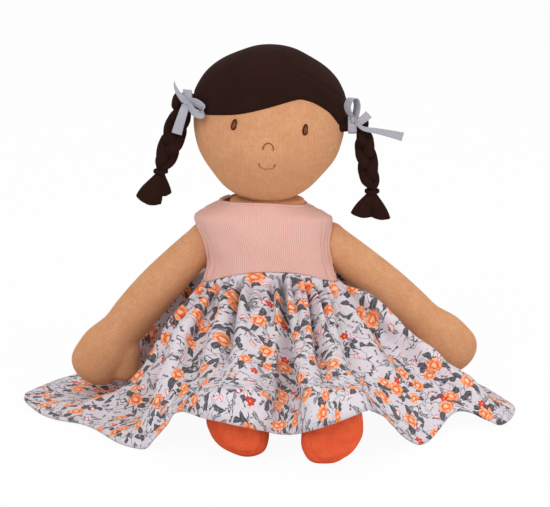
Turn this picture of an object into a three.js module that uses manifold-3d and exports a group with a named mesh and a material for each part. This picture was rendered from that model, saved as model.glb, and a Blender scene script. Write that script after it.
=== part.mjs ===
// Seated heat pack doll: a stuffed cloth doll in a dress, with two braids and
// a warm grain pack in a pocket in its back.
// Millimetres, +Z up. The doll faces -Y and its left side is +X. The origin is
// the middle of the seat, on the surface that it sits on.
import * as THREE from 'three';
import { mergeVertices } from 'three/addons/utils/BufferGeometryUtils.js';
import Module from 'manifold-3d';

const wasm = await Module();
wasm.setup();

// Clearances between pieces
const seamGap = 0.35;
const socketGap = 0.5;
const cutOverrun = 4;
const facetSlack = 0.06;

// Head, neck and face
const headHalfWidth = 53.1;
const headHalfHeight = 54.5;
const headDepthShare = 0.84;
const headRight = 0.8;
const headRoll = THREE.MathUtils.degToRad(4.2);
const neckRight = 2;
const neckBall = 15;
const neckRise = 8.5;
const headRise = 52;
const stitchRelief = 0.7;
const eyeSpacing = 49.6;
const eyeHeight = 8.4;
const eyeHalfWidth = 2.1;
const eyeHalfHeight = 4.1;
const noseDrop = 5.9;
const noseHalfWidth = 3.6;
const mouthDrop = 19.8;
const mouthHalfWidth = 6;
const threadWidth = 1.1;

// Hair, braids and ribbons
const hairThickness = 2.2;
const hairHemDrop = 36;
const hairSideDepth = 16;
const rootRadius = 4.4;
const rootHeightRight = 15;
const rootHeightLeft = 5;
const rootForward = 12;
const rootLength = 9;
const headRootLift = 2;
const bandInset = 1.4;
const bandWall = 0.9;
const bandWidth = 5.4;
const gatherRadius = 5.6;
const gatherLength = 7;
const braidLength = 67;
const braidLeanRight = 19;
const braidLeanLeft = 9.5;
const crossingLength = 47;
const strandRadius = 2.8;
const strandSpread = 5.3;
const strandDepth = 5.8;
const tieThread = 0.8;
const ribbonWidth = 6.6;
const ribbonThickness = 0.9;
const knotSize = 5.2;

// Torso and pocket
const torsoHalfWidth = 44;
const torsoHalfDepth = 33;
const torsoTop = 141.5;
const torsoBack = 31;
const shoulderShift = 2;
const seatFlat = 0.5;
const pocketWidth = 54;
const pocketBottom = 17;
const pocketTop = 68;
const pocketDepth = 24;
const liningWall = 1;
const packWidth = 49;
const packThickness = 14;
const packRecess = 7;
const packEdge = 4;
const channelDepth = 1.4;
const channelWidth = 3;
const tabLength = 9;
const tabWidth = 12;
const tabThickness = 1;
const flapWall = 1.4;
const flapHinge = 11;
const flapTop = 78;
const flapWidth = 60;
const tapeWall = 0.6;
const tapeWidth = 9;

// Arms and legs
const shoulderHeight = 116.5;
const shoulderOut = 44;
const shoulderBack = 6;
const armLength = 136;
const armRadius = 16;
const armBall = 13.5;
const armBackward = 0.07;
const armHang = {
  right: { start: THREE.MathUtils.degToRad(45.5), end: THREE.MathUtils.degToRad(33) },
  left: { start: THREE.MathUtils.degToRad(49), end: THREE.MathUtils.degToRad(44) },
};
const thumbRadius = 8.5;
const thumbLength = 31;
const hipOut = 22;
const hipForward = 12;
const legRadius = 17;
const hipHeight = 17.4;
const legSplay = { left: THREE.MathUtils.degToRad(9), right: THREE.MathUtils.degToRad(-0.5) };
const footRoll = { left: THREE.MathUtils.degToRad(12), right: THREE.MathUtils.degToRad(-13) };
const shoeHalfWidth = 21.5;
const shoeHeight = 45;
const shoeDepth = 34;
const ankleLength = 26;
const soleForwardRight = 153;
const soleForwardLeft = 172;

// Dress
const waistHeight = 103;
const waistDip = 13;
const waistHalfWidth = 47;
const waistHalfDepth = 30;
const neckEdgeRise = 8;
const bodiceShift = 4.7;
const bodiceWall = 1.4;
const armholeHeight = 17;
const armholeDepth = 14.5;
const backOpening = 68;
const backOverlap = 12;
const skirtReach = 174;
const skirtWall = 1.2;
const backHemShare = 0.055;

// Shares of the head's half width and half height, from the chin to the crown
const headProfileShares = [
  [0, -1.02], [0.24, -0.985], [0.45, -0.885], [0.6, -0.77], [0.765, -0.58], [0.905, -0.37], [0.98, -0.155],
  [1, 0.05], [0.985, 0.3], [0.925, 0.48], [0.82, 0.64], [0.63, 0.8], [0.36, 0.94], [0.18, 0.987], [0, 1],
];

// Fringe edge across the brow, as shares of the head's half width and half height
const fringeShares = [
  [-1.1, 0.1], [-0.95, 0.15], [-0.72, 0.22], [-0.4, 0.3], [0, 0.43], [0.22, 0.5], [0.36, 0.53],
  [0.58, 0.47], [0.78, 0.33], [0.94, 0.12], [1.1, -0.08],
];

// Torso below the waist: height share of the waist, half width and half depth shares
const torsoShares = [
  [0, 0.78, 0.74], [0.05, 0.94, 0.93], [0.19, 1.02, 1.02], [0.44, 1, 1], [0.73, 0.955, 0.91],
  [0.86, 0.955, 0.875],
];

// Bodice from the waist seam to the neck edge: height share, half width and half depth shares
const bodiceShares = [
  [0, 1, 1], [0.22, 0.925, 0.965], [0.5, 0.945, 0.93], [0.7, 1, 0.865], [0.82, 1, 0.8],
  [0.92, 0.81, 0.7], [1, 0.61, 0.62],
];

// Arm from shoulder to fingertips: length share, radius share, depth share
const armShares = [
  [0, 0.8, 1], [0.16, 0.88, 1], [0.38, 0.97, 1], [0.56, 0.97, 0.98], [0.66, 0.95, 0.94], [0.78, 1.19, 0.84],
  [0.9, 1.17, 0.8],
];

// Heights of the cloth from the waist to the hem, as shares of the waist's height
const clothRowShares = [0, 0.2, 0.4, 0.6, 0.8, 0.95, 1];
const clothShares = {
  between: [0.83, 0.65, 0.48, 0.36, 0.25, 0.18],
  shoe: [0.86, 0.71, 0.59, 0.51, 0.465, 0.26],
  leftShoe: [0.86, 0.71, 0.59, 0.53, 0.49, 0.29],
  leftShoeOut: [0.86, 0.71, 0.6, 0.54, 0.51, 0.35],
  leftShoeSide: [0.86, 0.7, 0.59, 0.53, 0.51, 0.38],
  shoeSide: [0.86, 0.7, 0.58, 0.5, 0.475, 0.335],
  arch: [0.82, 0.65, 0.5, 0.38, 0.29, 0.25],
  corner: [0.84, 0.68, 0.48, 0.25, 0.07, 0.015],
  lowArch: [0.8, 0.6, 0.42, 0.28, 0.17, 0.12],
  ridge: [0.91, 0.71, 0.51, 0.33, 0.11, 0.015],
  behindRidge: [0.78, 0.52, 0.33, 0.19, 0.07, 0.03],
  underLeftArm: [0.68, 0.38, 0.1, 0.06, 0.04, 0.02],
  underRightArm: [0.46, 0.045, 0.02, 0.025, 0.035, 0.05],
  behindRightArm: [0.46, 0.045, 0.02, 0.02, 0.02, 0.015],
  rightRise: [0.62, 0.36, 0.2, 0.1, 0.03, 0.015],
  rise: [0.74, 0.44, 0.21, 0.09, 0.03, 0.015],
  back: [0.95, 0.88, 0.72, 0.45, 0.1, 0.015],
  lowRidge: [0.74, 0.36, 0.17, 0.08, 0.04, 0.02],
  lowFall: [0.74, 0.42, 0.2, 0.09, 0.05, 0.03],
  fall: [0.88, 0.75, 0.56, 0.3, 0.08, 0.015],
};

// Folds of the skirt, turning from the front by the doll's left side: the share
// of a turn at the waist, the hem's place as shares of the reach, and the cloth's fall
const foldShares = [
  [0.005, 0.035, -0.88, 'between'], [0.05, 0.17, -1, 'leftShoe'], [0.095, 0.29, -1.02, 'leftShoeOut'],
  [0.12, 0.39, -1, 'leftShoeSide'], [0.145, 0.435, -0.74, 'arch'], [0.175, 0.595, -0.675, 'corner'],
  [0.21, 0.77, -0.35, 'lowArch'],
  [0.23, 0.925, -0.365, 'ridge'], [0.245, 0.99, -0.18, 'behindRidge'], [0.262, 0.94, 0.015, 'underLeftArm'],
  [0.29, 0.85, 0.22, 'rise'], [0.33, 0.69, 0.42, 'back'], [0.38, 0.49, 0.545, 'back'],
  [0.44, 0.26, 0.62, 'back'], [0.5, 0, 0.65, 'back'], [0.56, -0.26, 0.62, 'back'], [0.62, -0.49, 0.555, 'back'],
  [0.67, -0.68, 0.455, 'back'], [0.705, -0.84, 0.32, 'rightRise'], [0.73, -0.945, 0.17, 'behindRightArm'],
  [0.755, -1, -0.025, 'underRightArm'], [0.775, -0.93, -0.2, 'lowRidge'], [0.8, -0.86, -0.31, 'lowRidge'],
  [0.825, -0.735, -0.43, 'lowFall'], [0.845, -0.6, -0.665, 'fall'], [0.865, -0.5, -0.735, 'corner'],
  [0.9, -0.38, -0.715, 'arch'], [0.935, -0.265, -0.912, 'shoeSide'], [0.975, -0.085, -0.915, 'shoe'],
];

const material = (color, roughness) => new THREE.MeshStandardMaterial({ color, roughness, metalness: 0 });
const skinVelour = material(0xd2996b, 0.95);
const hairVelour = material(0x2e1a14, 0.9);
const pinkRib = material(0xe3b4a6, 0.9);
const printedCotton = material(0xd6ceda, 0.85);
const shoeVelour = material(0xdf5f38, 0.9);
const ribbonSatin = material(0xacacb8, 0.55);
const brownThread = material(0x4a2b1c, 0.7);
const packCotton = material(0xe8dfcc, 0.95);
const tapeNylon = material(0xf0eee8, 0.8);

const doll = new THREE.Group();
const vector = (x, y, z) => new THREE.Vector3(x, y, z);
const turn = Math.PI * 2;

// Volume inside a triangle mesh, negative where its faces point inwards
function signedVolume(positions, faces) {
  const corner = (i) => new THREE.Vector3().fromBufferAttribute(positions, i);
  let volume = 0;
  for (let i = 0; i < faces.length; i += 3) {
    const [a, b, c] = [faces[i], faces[i + 1], faces[i + 2]].map(corner);
    volume += a.dot(b.cross(c)) / 6;
  }
  return volume;
}

// Turns a closed geometry into a solid that can be joined and cut
function solidFrom(geometry) {
  const bare = geometry.clone();
  bare.deleteAttribute('normal');
  bare.deleteAttribute('uv');
  const merged = mergeVertices(bare);
  const faces = [];
  for (let i = 0; i < merged.index.count; i += 3) {
    const [a, b, c] = [merged.index.getX(i), merged.index.getX(i + 1), merged.index.getX(i + 2)];
    if (a !== b && b !== c && a !== c) faces.push(a, b, c);
  }
  if (signedVolume(merged.attributes.position, faces) < 0) faces.reverse();
  return new wasm.Manifold(new wasm.Mesh({
    numProp: 3,
    vertProperties: new Float32Array(merged.attributes.position.array),
    triVerts: new Uint32Array(faces),
  }));
}

// Turns points and faces into a solid
function solidOf(points, faces) {
  const geometry = new THREE.BufferGeometry().setFromPoints(points);
  geometry.setIndex(faces);
  return solidFrom(geometry);
}

// Adds a solid to the doll as a named piece with its own material
function addPiece(name, solid, finish, parent = doll) {
  const made = solid.simplify(facetSlack).getMesh();
  const geometry = new THREE.BufferGeometry();
  const corners = new Float32Array(made.numVert * 3);
  for (let i = 0; i < made.numVert; i += 1) {
    corners.set(made.vertProperties.subarray(i * made.numProp, i * made.numProp + 3), i * 3);
  }
  geometry.setAttribute('position', new THREE.BufferAttribute(corners, 3));
  geometry.setIndex(Array.from(made.triVerts));
  geometry.computeVertexNormals();
  const mesh = new THREE.Mesh(geometry, finish.clone());
  mesh.name = name;
  parent.add(mesh);
  return mesh;
}

// Places and turns a geometry, then makes it a solid
function placed(geometry, x, y, z) {
  return solidFrom(geometry.translate(x, y, z));
}

// A closed skin over rings of points, with a fan over each end
function skin(rings) {
  const sides = rings[0].length;
  const middle = (ring) => ring.reduce((sum, p) => sum.add(p), vector(0, 0, 0)).divideScalar(sides);
  const points = [...rings.flat(), middle(rings[0]), middle(rings.at(-1))];
  const first = points.length - 2;
  const last = points.length - 1;
  const lastRing = (rings.length - 1) * sides;
  const faces = [];
  for (let i = 0; i < sides; i += 1) {
    const next = (i + 1) % sides;
    faces.push(first, next, i);
    faces.push(last, lastRing + i, lastRing + next);
    for (let row = 0; row < lastRing; row += sides) {
      faces.push(row + i, row + next, row + sides + next);
      faces.push(row + i, row + sides + next, row + sides + i);
    }
  }
  return solidOf(points, faces);
}

// A sheet of cloth between two offsets along its normals. The grid has rows of
// points, and around says that each row closes on itself
function sheet(grid, inner, outer, around) {
  const rows = grid.length;
  const columns = grid[0].length;
  const column = (i) => (around ? (i + columns) % columns : THREE.MathUtils.clamp(i, 0, columns - 1));
  const row = (i) => THREE.MathUtils.clamp(i, 0, rows - 1);
  const points = [];
  for (const offset of [inner, outer]) {
    grid.forEach((line, r) => line.forEach((point, c) => {
      const across = grid[r][column(c + 1)].clone().sub(grid[r][column(c - 1)]);
      const along = grid[row(r + 1)][c].clone().sub(grid[row(r - 1)][c]);
      const distance = typeof offset === 'function' ? offset(c / (columns - 1), r / (rows - 1)) : offset;
      points.push(point.clone().addScaledVector(across.cross(along).normalize(), distance));
    }));
  }
  const at = (layer, r, c) => layer * rows * columns + r * columns + column(c);
  const faces = [];
  const quad = (a, b, c, d) => faces.push(a, b, c, a, c, d);
  const spans = around ? columns : columns - 1;
  for (let c = 0; c < spans; c += 1) {
    for (let r = 0; r < rows - 1; r += 1) {
      quad(at(1, r, c), at(1, r, c + 1), at(1, r + 1, c + 1), at(1, r + 1, c));
      quad(at(0, r, c + 1), at(0, r, c), at(0, r + 1, c), at(0, r + 1, c + 1));
    }
    quad(at(0, 0, c), at(0, 0, c + 1), at(1, 0, c + 1), at(1, 0, c));
    quad(at(0, rows - 1, c + 1), at(0, rows - 1, c), at(1, rows - 1, c), at(1, rows - 1, c + 1));
  }
  if (!around) {
    for (let r = 0; r < rows - 1; r += 1) {
      quad(at(0, r + 1, 0), at(0, r, 0), at(1, r, 0), at(1, r + 1, 0));
      quad(at(0, r, columns - 1), at(0, r + 1, columns - 1), at(1, r + 1, columns - 1), at(1, r, columns - 1));
    }
  }
  return solidOf(points, faces);
}

// Value at a share of the way through a table whose rows start with that share
function readShares(table, share, column) {
  const last = table.length - 1;
  const place = Math.max(0, table.findIndex((line) => line[0] >= share) - 1);
  const start = share > table[last][0] ? last - 1 : Math.min(place, last - 1);
  const [a, b] = [table[start], table[start + 1]];
  const before = table[Math.max(start - 1, 0)];
  const after = table[Math.min(start + 2, last)];
  const local = (share - a[0]) / (b[0] - a[0]);
  const slopeA = ((b[column] - before[column]) / (b[0] - before[0])) * (b[0] - a[0]);
  const slopeB = ((after[column] - a[column]) / (after[0] - a[0])) * (b[0] - a[0]);
  const square = local * local;
  const cube = square * local;
  return (2 * cube - 3 * square + 1) * a[column] + (cube - 2 * square + local) * slopeA
    + (3 * square - 2 * cube) * b[column] + (cube - square) * slopeB;
}

// A point on a rounded box outline, turning from the front by the doll's left
function boxyOutline(turns, halfWidth, halfDepth, power = 2.4) {
  const [s, c] = [Math.sin(turns * turn), Math.cos(turns * turn)];
  const soften = (value) => Math.sign(value) * Math.abs(value) ** (2 / power);
  return [halfWidth * soften(s), -halfDepth * soften(c)];
}

// The share of a turn from front or back at which that outline is this far across
const turnsFor = (across, halfWidth, power = 2.4) => Math.asin((across / halfWidth) ** (power / 2)) / turn;

// A stuffed limb along a line of centres: a ball at its start, a rounded tip
function limb(start, directionAt, length, radiusAt, depthAt, tip, sides, stations, grow) {
  const rings = [];
  const ball = radiusAt(0);
  const steps = 48;
  const centreAt = (distance) => {
    const point = start.clone();
    for (let i = 0; i < steps; i += 1) {
      point.addScaledVector(directionAt(((i + 0.5) / steps) * distance / length), distance / steps);
    }
    return point;
  };
  const places = [];
  const ballRings = 3;
  for (let i = 0; i <= ballRings; i += 1) places.push(-ball * Math.cos((i / ballRings) * Math.PI / 2));
  for (let i = 1; i <= stations; i += 1) places.push((i / stations) * (length - tip));
  for (let i = 1; i <= ballRings; i += 1) places.push(length - tip + tip * Math.sin((i / ballRings) * Math.PI / 2));
  for (const place of places) {
    const along = directionAt(THREE.MathUtils.clamp(place / length, 0, 1));
    const across = along.clone().cross(vector(0, 1, 0)).normalize();
    const through = across.clone().cross(along).normalize();
    const share = Math.max(place, 0) / length;
    let wide = radiusAt(share);
    if (place < 0) wide = Math.sqrt(Math.max(ball * ball - place * place, 0));
    const past = (place - (length - tip)) / tip;
    if (past > 0) wide = radiusAt(1 - tip / length) * Math.sqrt(Math.max(1 - past * past, 0));
    const deep = wide * depthAt(share) + (wide > 0 ? grow : 0);
    wide += wide > 0 ? grow : 0;
    const centre = place < 0 ? start.clone().addScaledVector(along, place) : centreAt(place);
    rings.push(Array.from({ length: sides }, (_, i) => centre.clone()
      .addScaledVector(across, wide * Math.cos((i / sides) * turn))
      .addScaledVector(through, deep * Math.sin((i / sides) * turn))));
  }
  return skin(rings);
}

// Head: a revolved profile, flattened from front to back
const neckHeight = torsoTop + neckRise;
const headCurve = new THREE.SplineCurve(headProfileShares.map(([x, y]) => new THREE.Vector2(x, y)));
const headGroup = new THREE.Group();
headGroup.position.set(-headRight, 0, neckHeight + headRise);
headGroup.rotation.y = headRoll;
doll.add(headGroup);
headGroup.updateMatrixWorld(true);
const inHead = (point) => headGroup.worldToLocal(point.clone());
const fromHead = (point) => headGroup.localToWorld(point.clone());

function headSolid(offset) {
  const [rows, sides] = [16, 32];
  const rings = [];
  for (let r = 0; r <= rows; r += 1) {
    const share = headCurve.getPoint(r / rows);
    const slope = headCurve.getTangent(r / rows);
    const radius = Math.max(share.x * headHalfWidth + offset * slope.y, 0);
    const height = share.y * headHalfHeight - offset * slope.x;
    const depth = Math.max(share.x * headHalfWidth * headDepthShare + offset * slope.y, 0);
    rings.push(Array.from({ length: sides }, (_, i) => vector(
      radius * Math.sin((i / sides) * turn),
      -depth * Math.cos((i / sides) * turn),
      height,
    )));
  }
  return skin(rings);
}

// The head grown by an offset, where it stands on the doll
const headInPlace = (offset) => headSolid(offset).transform(headGroup.matrixWorld.elements);

function buildHead() {
  const pivot = inHead(vector(-neckRight, 0, neckHeight));
  const socket = placed(new THREE.SphereGeometry(neckBall + socketGap, 20, 14), pivot.x, pivot.y, pivot.z);
  addPiece('head', headSolid(0).subtract(socket), skinVelour, headGroup);
}

// Embroidery: a flat outline pushed onto the face, standing proud of the cloth
function stitch(name, outline) {
  const block = new THREE.ExtrudeGeometry(outline, {
    depth: headHalfWidth + cutOverrun,
    bevelEnabled: false,
    curveSegments: 10,
  }).rotateX(Math.PI / 2);
  const raised = headSolid(seamGap + stitchRelief).subtract(headSolid(seamGap));
  addPiece(name, raised.intersect(solidFrom(block)), brownThread, headGroup);
}

// A stroke of thread along an arc of an ellipse
function threadArc(x, y, halfWidth, halfHeight, from, to) {
  const outline = new THREE.Shape();
  const half = threadWidth / 2;
  outline.absellipse(x, y, halfWidth + half, halfHeight + half, from, to, false);
  outline.absellipse(x, y, halfWidth - half, halfHeight - half, to, from, true);
  outline.closePath();
  return outline;
}

function buildFace() {
  for (const [name, side] of [['eye_right', -1], ['eye_left', 1]]) {
    const outline = new THREE.Shape();
    outline.absellipse((side * eyeSpacing) / 2, eyeHeight, eyeHalfWidth, eyeHalfHeight, 0, turn, false);
    stitch(name, outline);
  }
  stitch('nose_stitch', threadArc(0, -noseDrop, noseHalfWidth, noseHalfWidth, 0, Math.PI));
  stitch('mouth_stitch', threadArc(0, -mouthDrop, mouthHalfWidth, mouthHalfWidth * 0.6, Math.PI, turn));
}

// Hair: a cap over the head, cut away from the face and the nape
function buildHairCap() {
  const cap = headSolid(seamGap + hairThickness).subtract(headSolid(seamGap));
  const curve = new THREE.SplineCurve(fringeShares.map(([x, y]) => new THREE.Vector2(
    x * headHalfWidth,
    y * headHalfHeight,
  )));
  const below = -headHalfHeight - cutOverrun;
  const window = new THREE.Shape([
    ...curve.getPoints(20),
    new THREE.Vector2(headHalfWidth * 1.1, below),
    new THREE.Vector2(-headHalfWidth * 1.1, below),
  ]);
  const faceCut = new THREE.ExtrudeGeometry(window, {
    depth: headHalfWidth + cutOverrun + hairSideDepth,
    bevelEnabled: false,
  }).rotateX(Math.PI / 2).translate(0, hairSideDepth, 0);
  const span = (headHalfWidth + cutOverrun) * 2;
  const napeCut = placed(new THREE.BoxGeometry(span, span, span), 0, 0, -hairHemDrop - span / 2);
  addPiece('hair_cap', cap.subtract(solidFrom(faceCut)).subtract(napeCut), hairVelour, headGroup);
}

// Where each braid's root leaves the hair, beside the face
function rootPlace(name, side) {
  const reach = (headHalfWidth + hairThickness) * Math.sqrt(1 - (rootForward / (headHalfWidth * headDepthShare)) ** 2);
  const height = name === 'right' ? rootHeightRight : rootHeightLeft;
  return fromHead(vector(side * (reach - seamGap), -rootForward, height + headRootLift));
}

// A cylinder along X, from one place to another
function barrel(radius, from, to, place, segments = 20) {
  const length = Math.abs(to - from);
  return new THREE.CylinderGeometry(radius, radius, length, segments)
    .rotateZ(Math.PI / 2)
    .translate((from + to) / 2, place.y, place.z);
}

// A strip of ribbon along points, its width held along one direction
function ribbonStrip(points, widthways, width) {
  const curve = new THREE.CatmullRomCurve3(points);
  const rings = [];
  const steps = points.length * 2;
  for (let i = 0; i <= steps; i += 1) {
    const centre = curve.getPoint(i / steps);
    const across = widthways.clone().normalize();
    const thick = curve.getTangent(i / steps).cross(across).normalize();
    rings.push([[-1, -1], [1, -1], [1, 1], [-1, 1]].map(([a, b]) => centre.clone()
      .addScaledVector(across, (a * width) / 2)
      .addScaledVector(thick, (b * ribbonThickness) / 2)));
  }
  return skin(rings);
}

// Loops and tails of the bows: points as shares of the ribbon's width, from the
// knot, across, up and forward; a loop comes back to the knot
const bowShares = {
  right: [
    [[0, 0, 0], [-0.45, 1.1, 0.3], [-0.95, 2.3, 0.4]],
    [[0, 0, 0], [0.1, 0.9, 0.5], [0.5, 1.35, 1.3], [0.75, 0.9, 1.6], [0.3, 0.2, 0.6]],
    [[0, 0, 0], [1.1, 0.55, 1.3], [1.9, 0.35, 2.2], [2, -0.45, 2.3], [1.2, -0.75, 1.5], [0, -0.2, 0.2]],
    [[0, 0, 0], [-0.25, -1.4, 0.5], [-0.75, -2.9, 0.4]],
  ],
  left: [
    [[0, 0, 0], [-0.7, 1.2, 1.1], [-0.55, 2.1, 1.3], [0.3, 2.2, 0.9], [0.6, 1.2, 0.5], [0.2, 0, 0.1]],
    [[0, 0, 0], [0.8, 0.4, 0.3], [1.9, 0.35, 0.4]],
    [[0, 0, 0], [1.3, -0.8, 0.4], [3, -1.15, 0.5], [5, -1.55, 0.3]],
  ],
};

function buildRibbon(name, side, root) {
  const start = root.x + side * (rootLength - bandWidth - bandInset);
  const end = start + side * bandWidth;
  const outer = rootRadius + seamGap + bandWall;
  const band = solidFrom(barrel(outer, start, end, root))
    .subtract(solidFrom(barrel(rootRadius + seamGap, start - side * cutOverrun, end + side * cutOverrun, root)));
  const knotCentre = vector((start + end) / 2, root.y - outer - knotSize / 3, root.z);
  const knot = placed(
    new THREE.SphereGeometry(knotSize / 2, 10, 8).scale(1, 0.8, 1.15),
    knotCentre.x,
    knotCentre.y,
    knotCentre.z,
  );
  let bow = band.add(knot);
  bowShares[name].forEach((shares) => {
    const points = shares.map(([across, up, forward]) => knotCentre.clone().add(vector(
      across * ribbonWidth,
      -forward * ribbonWidth,
      up * ribbonWidth,
    )));
    const widthways = shares.length > 3
      ? vector(0, 1, 0.35)
      : vector(-(shares.at(-1)[1]), 0.5, shares.at(-1)[0]);
    bow = bow.add(ribbonStrip(points, widthways, ribbonWidth * (shares.length > 3 ? 0.75 : 1)));
  });
  addPiece(`ribbon_${name}`, bow.subtract(headInPlace(seamGap * 2 + hairThickness)), ribbonSatin);
}

// How a braid's bunch widens and how thick its strands are along its length
const braidShares = [
  [0, 0.58, 0.54], [0.12, 0.88, 0.86], [0.25, 1, 1], [0.5, 1, 1], [0.6, 0.92, 0.9], [0.69, 0.56, 0.52],
  [0.73, 0.56, 0.52], [0.82, 1.05, 1.02], [0.93, 1.4, 1.4], [1, 1.46, 1.2],
];
const tieShare = 0.71;

// Three strands crossing over one another: each swings from side to side once a
// pitch and from front to back twice, a third of a turn apart
function strandCentre(index, share, top, side, lean) {
  const free = Math.min(share, tieShare);
  const phase = (free * braidLength / crossingLength + index / 3) * turn + Math.PI / 5;
  const spread = readShares(braidShares, share, 1);
  return vector(
    top.x + side * lean * share ** 1.2 + strandSpread * spread * Math.sin(phase),
    top.y + strandDepth * spread * Math.sin(2 * phase),
    top.z - braidLength * share,
  );
}

function buildStrand(name, index, top, side, lean) {
  const [stations, sides] = [22, 7];
  const rings = [];
  const tipShare = 0.045;
  for (let i = 0; i <= stations; i += 1) {
    const share = i / stations;
    const centre = strandCentre(index, share, top, side, lean);
    const ahead = strandCentre(index, Math.min(share + 0.01, 1), top, side, lean);
    const behind = strandCentre(index, Math.max(share - 0.01, 0), top, side, lean);
    const along = ahead.sub(behind).normalize();
    const across = vector(1, 0, 0).addScaledVector(along, -along.x).normalize();
    const through = along.clone().cross(across);
    const left = Math.min((1 - share) / tipShare, 1);
    const round = Math.sqrt(1 - (1 - left) ** 2);
    const radius = strandRadius * readShares(braidShares, share, 2) * Math.max(round, 0.15);
    rings.push(Array.from({ length: sides }, (_, k) => centre.clone()
      .addScaledVector(across, radius * Math.cos((k / sides) * turn))
      .addScaledVector(through, radius * Math.sin((k / sides) * turn))));
  }
  addPiece(name, skin(rings), hairVelour);
}

function buildBraid(name, side) {
  const lean = name === 'right' ? braidLeanRight : braidLeanLeft;
  const root = rootPlace(name, side);
  const hair = headInPlace(seamGap * 2 + hairThickness);
  const stub = solidFrom(barrel(rootRadius, root.x - side * rootRadius, root.x + side * rootLength, root));
  addPiece(`hair_root_${name}`, stub.subtract(hair), hairVelour);
  buildRibbon(name, side, root);
  const gatherStart = root.x + side * (rootLength + seamGap);
  const gatherEnd = gatherStart + side * gatherLength;
  addPiece(`braid_gather_${name}`, solidFrom(barrel(gatherRadius, gatherStart, gatherEnd, root)), hairVelour);
  const top = vector((gatherStart + gatherEnd) / 2, root.y, root.z - gatherRadius - strandRadius * 0.35);
  for (let index = 0; index < 3; index += 1) {
    buildStrand(`braid_strand_${name}_${index + 1}`, index, top, side, lean);
  }
  const tieCentre = top.clone().add(vector(side * lean * tieShare ** 1.2, 0, -braidLength * tieShare));
  const bunch = [0, 1, 2].map((index) => strandCentre(index, tieShare, top, side, lean)
    .distanceTo(tieCentre));
  const bunchRadius = Math.max(...bunch) + strandRadius * readShares(braidShares, tieShare, 2);
  const tieRadius = bunchRadius + seamGap * 1.4 + tieThread;
  const tie = new THREE.TorusGeometry(tieRadius, tieThread, 6, 16);
  addPiece(`braid_tie_${name}`, placed(tie, tieCentre.x, tieCentre.y, tieCentre.z), hairVelour);
}

// Height of the waist seam, which dips at the doll's sides
const waistAt = (turns) => waistHeight - waistDip * Math.sin(turns * turn) ** 2;

// A point of the dress above the waist seam
function bodicePoint(turns, share) {
  const row = (column) => readShares(bodiceShares, share, column);
  const [x, y] = boxyOutline(turns, waistHalfWidth * row(1), waistHalfDepth * row(2));
  const height = THREE.MathUtils.lerp(waistAt(turns), torsoTop + neckEdgeRise, share);
  const lean = (shoulderShift * (height - waistHeight)) / (shoulderHeight - waistHeight);
  return vector(x - THREE.MathUtils.clamp(lean, 0, bodiceShift), y, height);
}

function bodiceGrid(from, to, columns, rows, low = 0) {
  return Array.from({ length: rows + 1 }, (_, r) => Array.from({ length: columns + 1 }, (__, c) => bodicePoint(
    THREE.MathUtils.lerp(from, to, c / columns),
    THREE.MathUtils.lerp(low, 1, r / rows),
  )));
}

// Shoulder and hip centres
const shoulders = {
  right: vector(-shoulderOut - shoulderShift, shoulderBack, shoulderHeight),
  left: vector(shoulderOut - shoulderShift, shoulderBack, shoulderHeight),
};
const hips = {
  right: vector(-hipOut, -hipForward, hipHeight),
  left: vector(hipOut, -hipForward, hipHeight),
};

function armDirection(name, side) {
  const { start, end } = armHang[name];
  return (share) => {
    const angle = THREE.MathUtils.lerp(start, end, share);
    return vector(side * Math.sin(angle), armBackward, -Math.cos(angle)).normalize();
  };
}

function armSolid(name, side, grow) {
  const radiusAt = (share) => (share === 0 ? armBall : armRadius * readShares(armShares, share, 1));
  const depthAt = (share) => readShares(armShares, Math.min(share, 0.9), 2);
  return limb(shoulders[name], armDirection(name, side), armLength, radiusAt, depthAt, armRadius * 0.9, 16, 11, grow);
}

function buildArm(name, side) {
  const direction = armDirection(name, side);
  const rootShare = 0.68;
  const wrist = shoulders[name].clone();
  const steps = 20;
  for (let i = 0; i < steps; i += 1) {
    wrist.addScaledVector(direction(((i + 0.5) / steps) * rootShare), (armLength * rootShare) / steps);
  }
  const along = direction(rootShare);
  const inward = vector(side * along.z, 0, -side * along.x).normalize();
  const thumbWay = along.clone().addScaledVector(inward, 0.67).normalize();
  const thumb = limb(
    wrist.clone().addScaledVector(inward, armRadius * 0.4),
    () => thumbWay,
    thumbLength,
    () => thumbRadius,
    () => 0.95,
    thumbRadius * 0.95,
    10,
    3,
    0,
  );
  addPiece(`arm_${name}`, armSolid(name, side, 0).add(thumb), skinVelour);
}

const soleForward = { right: soleForwardRight, left: soleForwardLeft };

function legSolid(name, grow) {
  const splay = legSplay[name];
  const legReach = soleForward[name] - hipForward - ankleLength;
  const away = () => vector(Math.sin(splay), -Math.cos(splay), 0);
  const radiusAt = (share) => legRadius * (1 - 0.06 * share);
  return limb(hips[name], away, legReach, radiusAt, () => 1, legRadius * 0.4, 18, 6, grow);
}

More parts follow.
